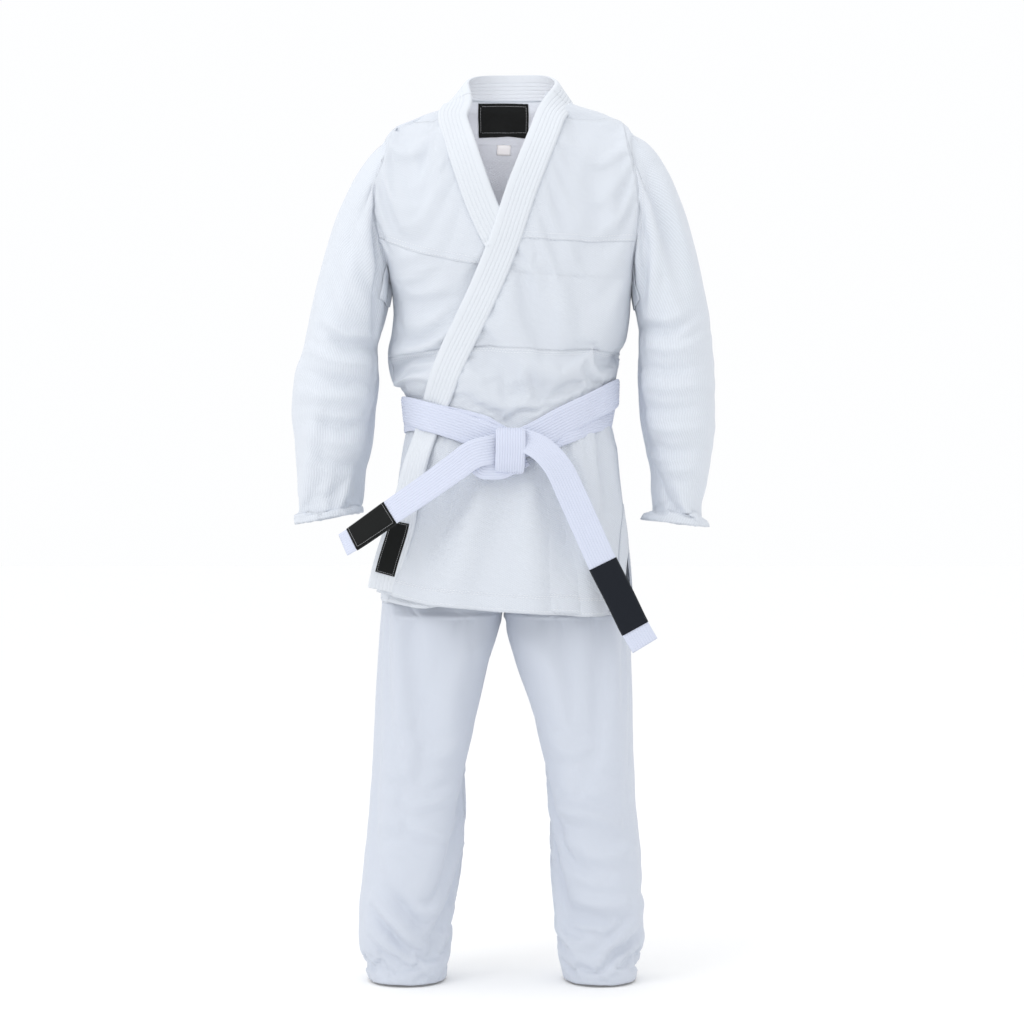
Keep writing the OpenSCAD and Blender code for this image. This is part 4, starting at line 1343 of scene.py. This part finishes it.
outline = band_profile(27, 4.5, 6, 0.8, -0.8, 0.8)
keep(sweep("knot_loop", loop, side, out, outline, BELT), "jacket")

# Points down each tail, how far it turns about its own line in degrees, its black bar's
# length, the length of the tip past the bar, and where its root bends.
TAILS = {
    "left": (
        [
            (14, -150, 860), (34, -157, 855), (58, -163, 843), (84, -167, 815), (104, -167, 775),
            (128, -166, 722), (151, -165, 671), (180, -163, 614), (203, -161, 567),
            (218, -159, 541),
        ],
        (42, 0, 8), 116.0, 28.0, 36, 40,
    ),
    "right": (
        [
            (12, -150, 846), (-12, -158, 842), (-40, -166, 836), (-76, -167, 812),
            (-112, -167, 786), (-172, -164, 745), (-232, -158, 703), (-245, -156, 695),
        ],
        (0, -20, -38), 74.0, 15.0, -16, -44,
    ),
}
for name, (points, turns, bar, tip, x, fall) in TAILS.items():
    p = rounded(points, 170)
    s, n = band_frame(p, np.tile(FACING, (len(p), 1)))
    g = np.radians(np.interp(np.linspace(0, 1, len(p)), [0, 0.4, 1], turns))[:, None]
    s, n = s * np.cos(g) + n * np.sin(g), n * np.cos(g) - s * np.sin(g)
    node = "tail_" + name
    obj = sweep(node, p, s, n, belt_outline, BELT)
    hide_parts(node)
    bend(obj)
    run = lengths(p)
    chosen = (run > run[-1] - tip - bar) & (run < run[-1] - tip)
    p, s, n = p[chosen], s[chosen], n[chosen]
    outline = band_profile(BELT_W + 1.6, BELT_T + 1.8, 2, 0.0)
    colour = BLACK if name == "right" else NAVY
    keep(sweep("bar_" + name, p - n * 0.9, s, n, outline, colour), node)
    if name == "right":
        border = edging(p, s, n, BELT_W / 2 - 2.2, BELT_T + 1.1, 2, 2)
        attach(thread_rows("bar_border_right", border, EDGE, length=2.6, gap=0.5, wide=0.7), node)

# ---------------------------------------------------------------- stage

FLOOR = 30000
CAMERA_HEIGHT, CAMERA_DISTANCE, VIEW_WIDTH, SENSOR = 746, 3.9, 1.638, 36


def lamp(name, size, watts, place, target, colour=(1, 1, 1)):
    """A soft rectangular lamp that faces its target, both in metres."""
    data = bpy.data.lights.new(name, "AREA")
    data.shape = "RECTANGLE"
    data.size, data.size_y = size
    data.energy = watts
    data.color = colour
    obj = bpy.data.objects.new(name, data)
    bpy.context.scene.collection.objects.link(obj)
    obj.location = place
    obj.rotation_euler = (Vector(target) - Vector(place)).to_track_quat("-Z", "Y").to_euler()


floor = [[-FLOOR, -FLOOR, -1], [FLOOR, -FLOOR, -1], [FLOOR, FLOOR, -1], [-FLOOR, FLOOR, -1]]
pale, _, shader = node_material("floor_pale", (0.9, 0.9, 0.9), 0.9, 0)
shader.inputs["Emission Color"].default_value = (1, 1, 1, 1)
shader.inputs["Emission Strength"].default_value = 0.10
mesh_object("floor", floor, [[0, 1, 2, 3]], None, pale)
lamp("key", (2.2, 2.2), 34, (-2.8, -2.8, 2.4), (0, 0, 0), (1, 0.995, 0.985))
lamp("top", (2.5, 1.5), 14, (-0.6, -0.4, 2.9), (0, 0, 0))
lamp("inside", (0.12, 0.10), 0.12, (0.008, -0.03, 0.44), (0.008, 0.09, 0.50), (1, 0.95, 0.95))

scene = bpy.context.scene
scene.world = bpy.data.worlds.new("studio")
scene.world.use_nodes = True
surround = scene.world.node_tree.nodes["Background"]
surround.inputs[0].default_value = (0.99, 0.995, 1.0, 1)
surround.inputs[1].default_value = 1.0
scene.view_settings.view_transform = "Standard"

camera_data = bpy.data.cameras.new("camera")
camera_data.sensor_width = SENSOR
camera_data.lens = SENSOR * CAMERA_DISTANCE / VIEW_WIDTH
camera = bpy.data.objects.new("camera", camera_data)
scene.collection.objects.link(camera)
camera.location = (0.014, -CAMERA_DISTANCE, (CAMERA_HEIGHT - WAIST) / 1000)
camera.rotation_euler = (math.radians(90), 0, 0)
scene.camera = camera
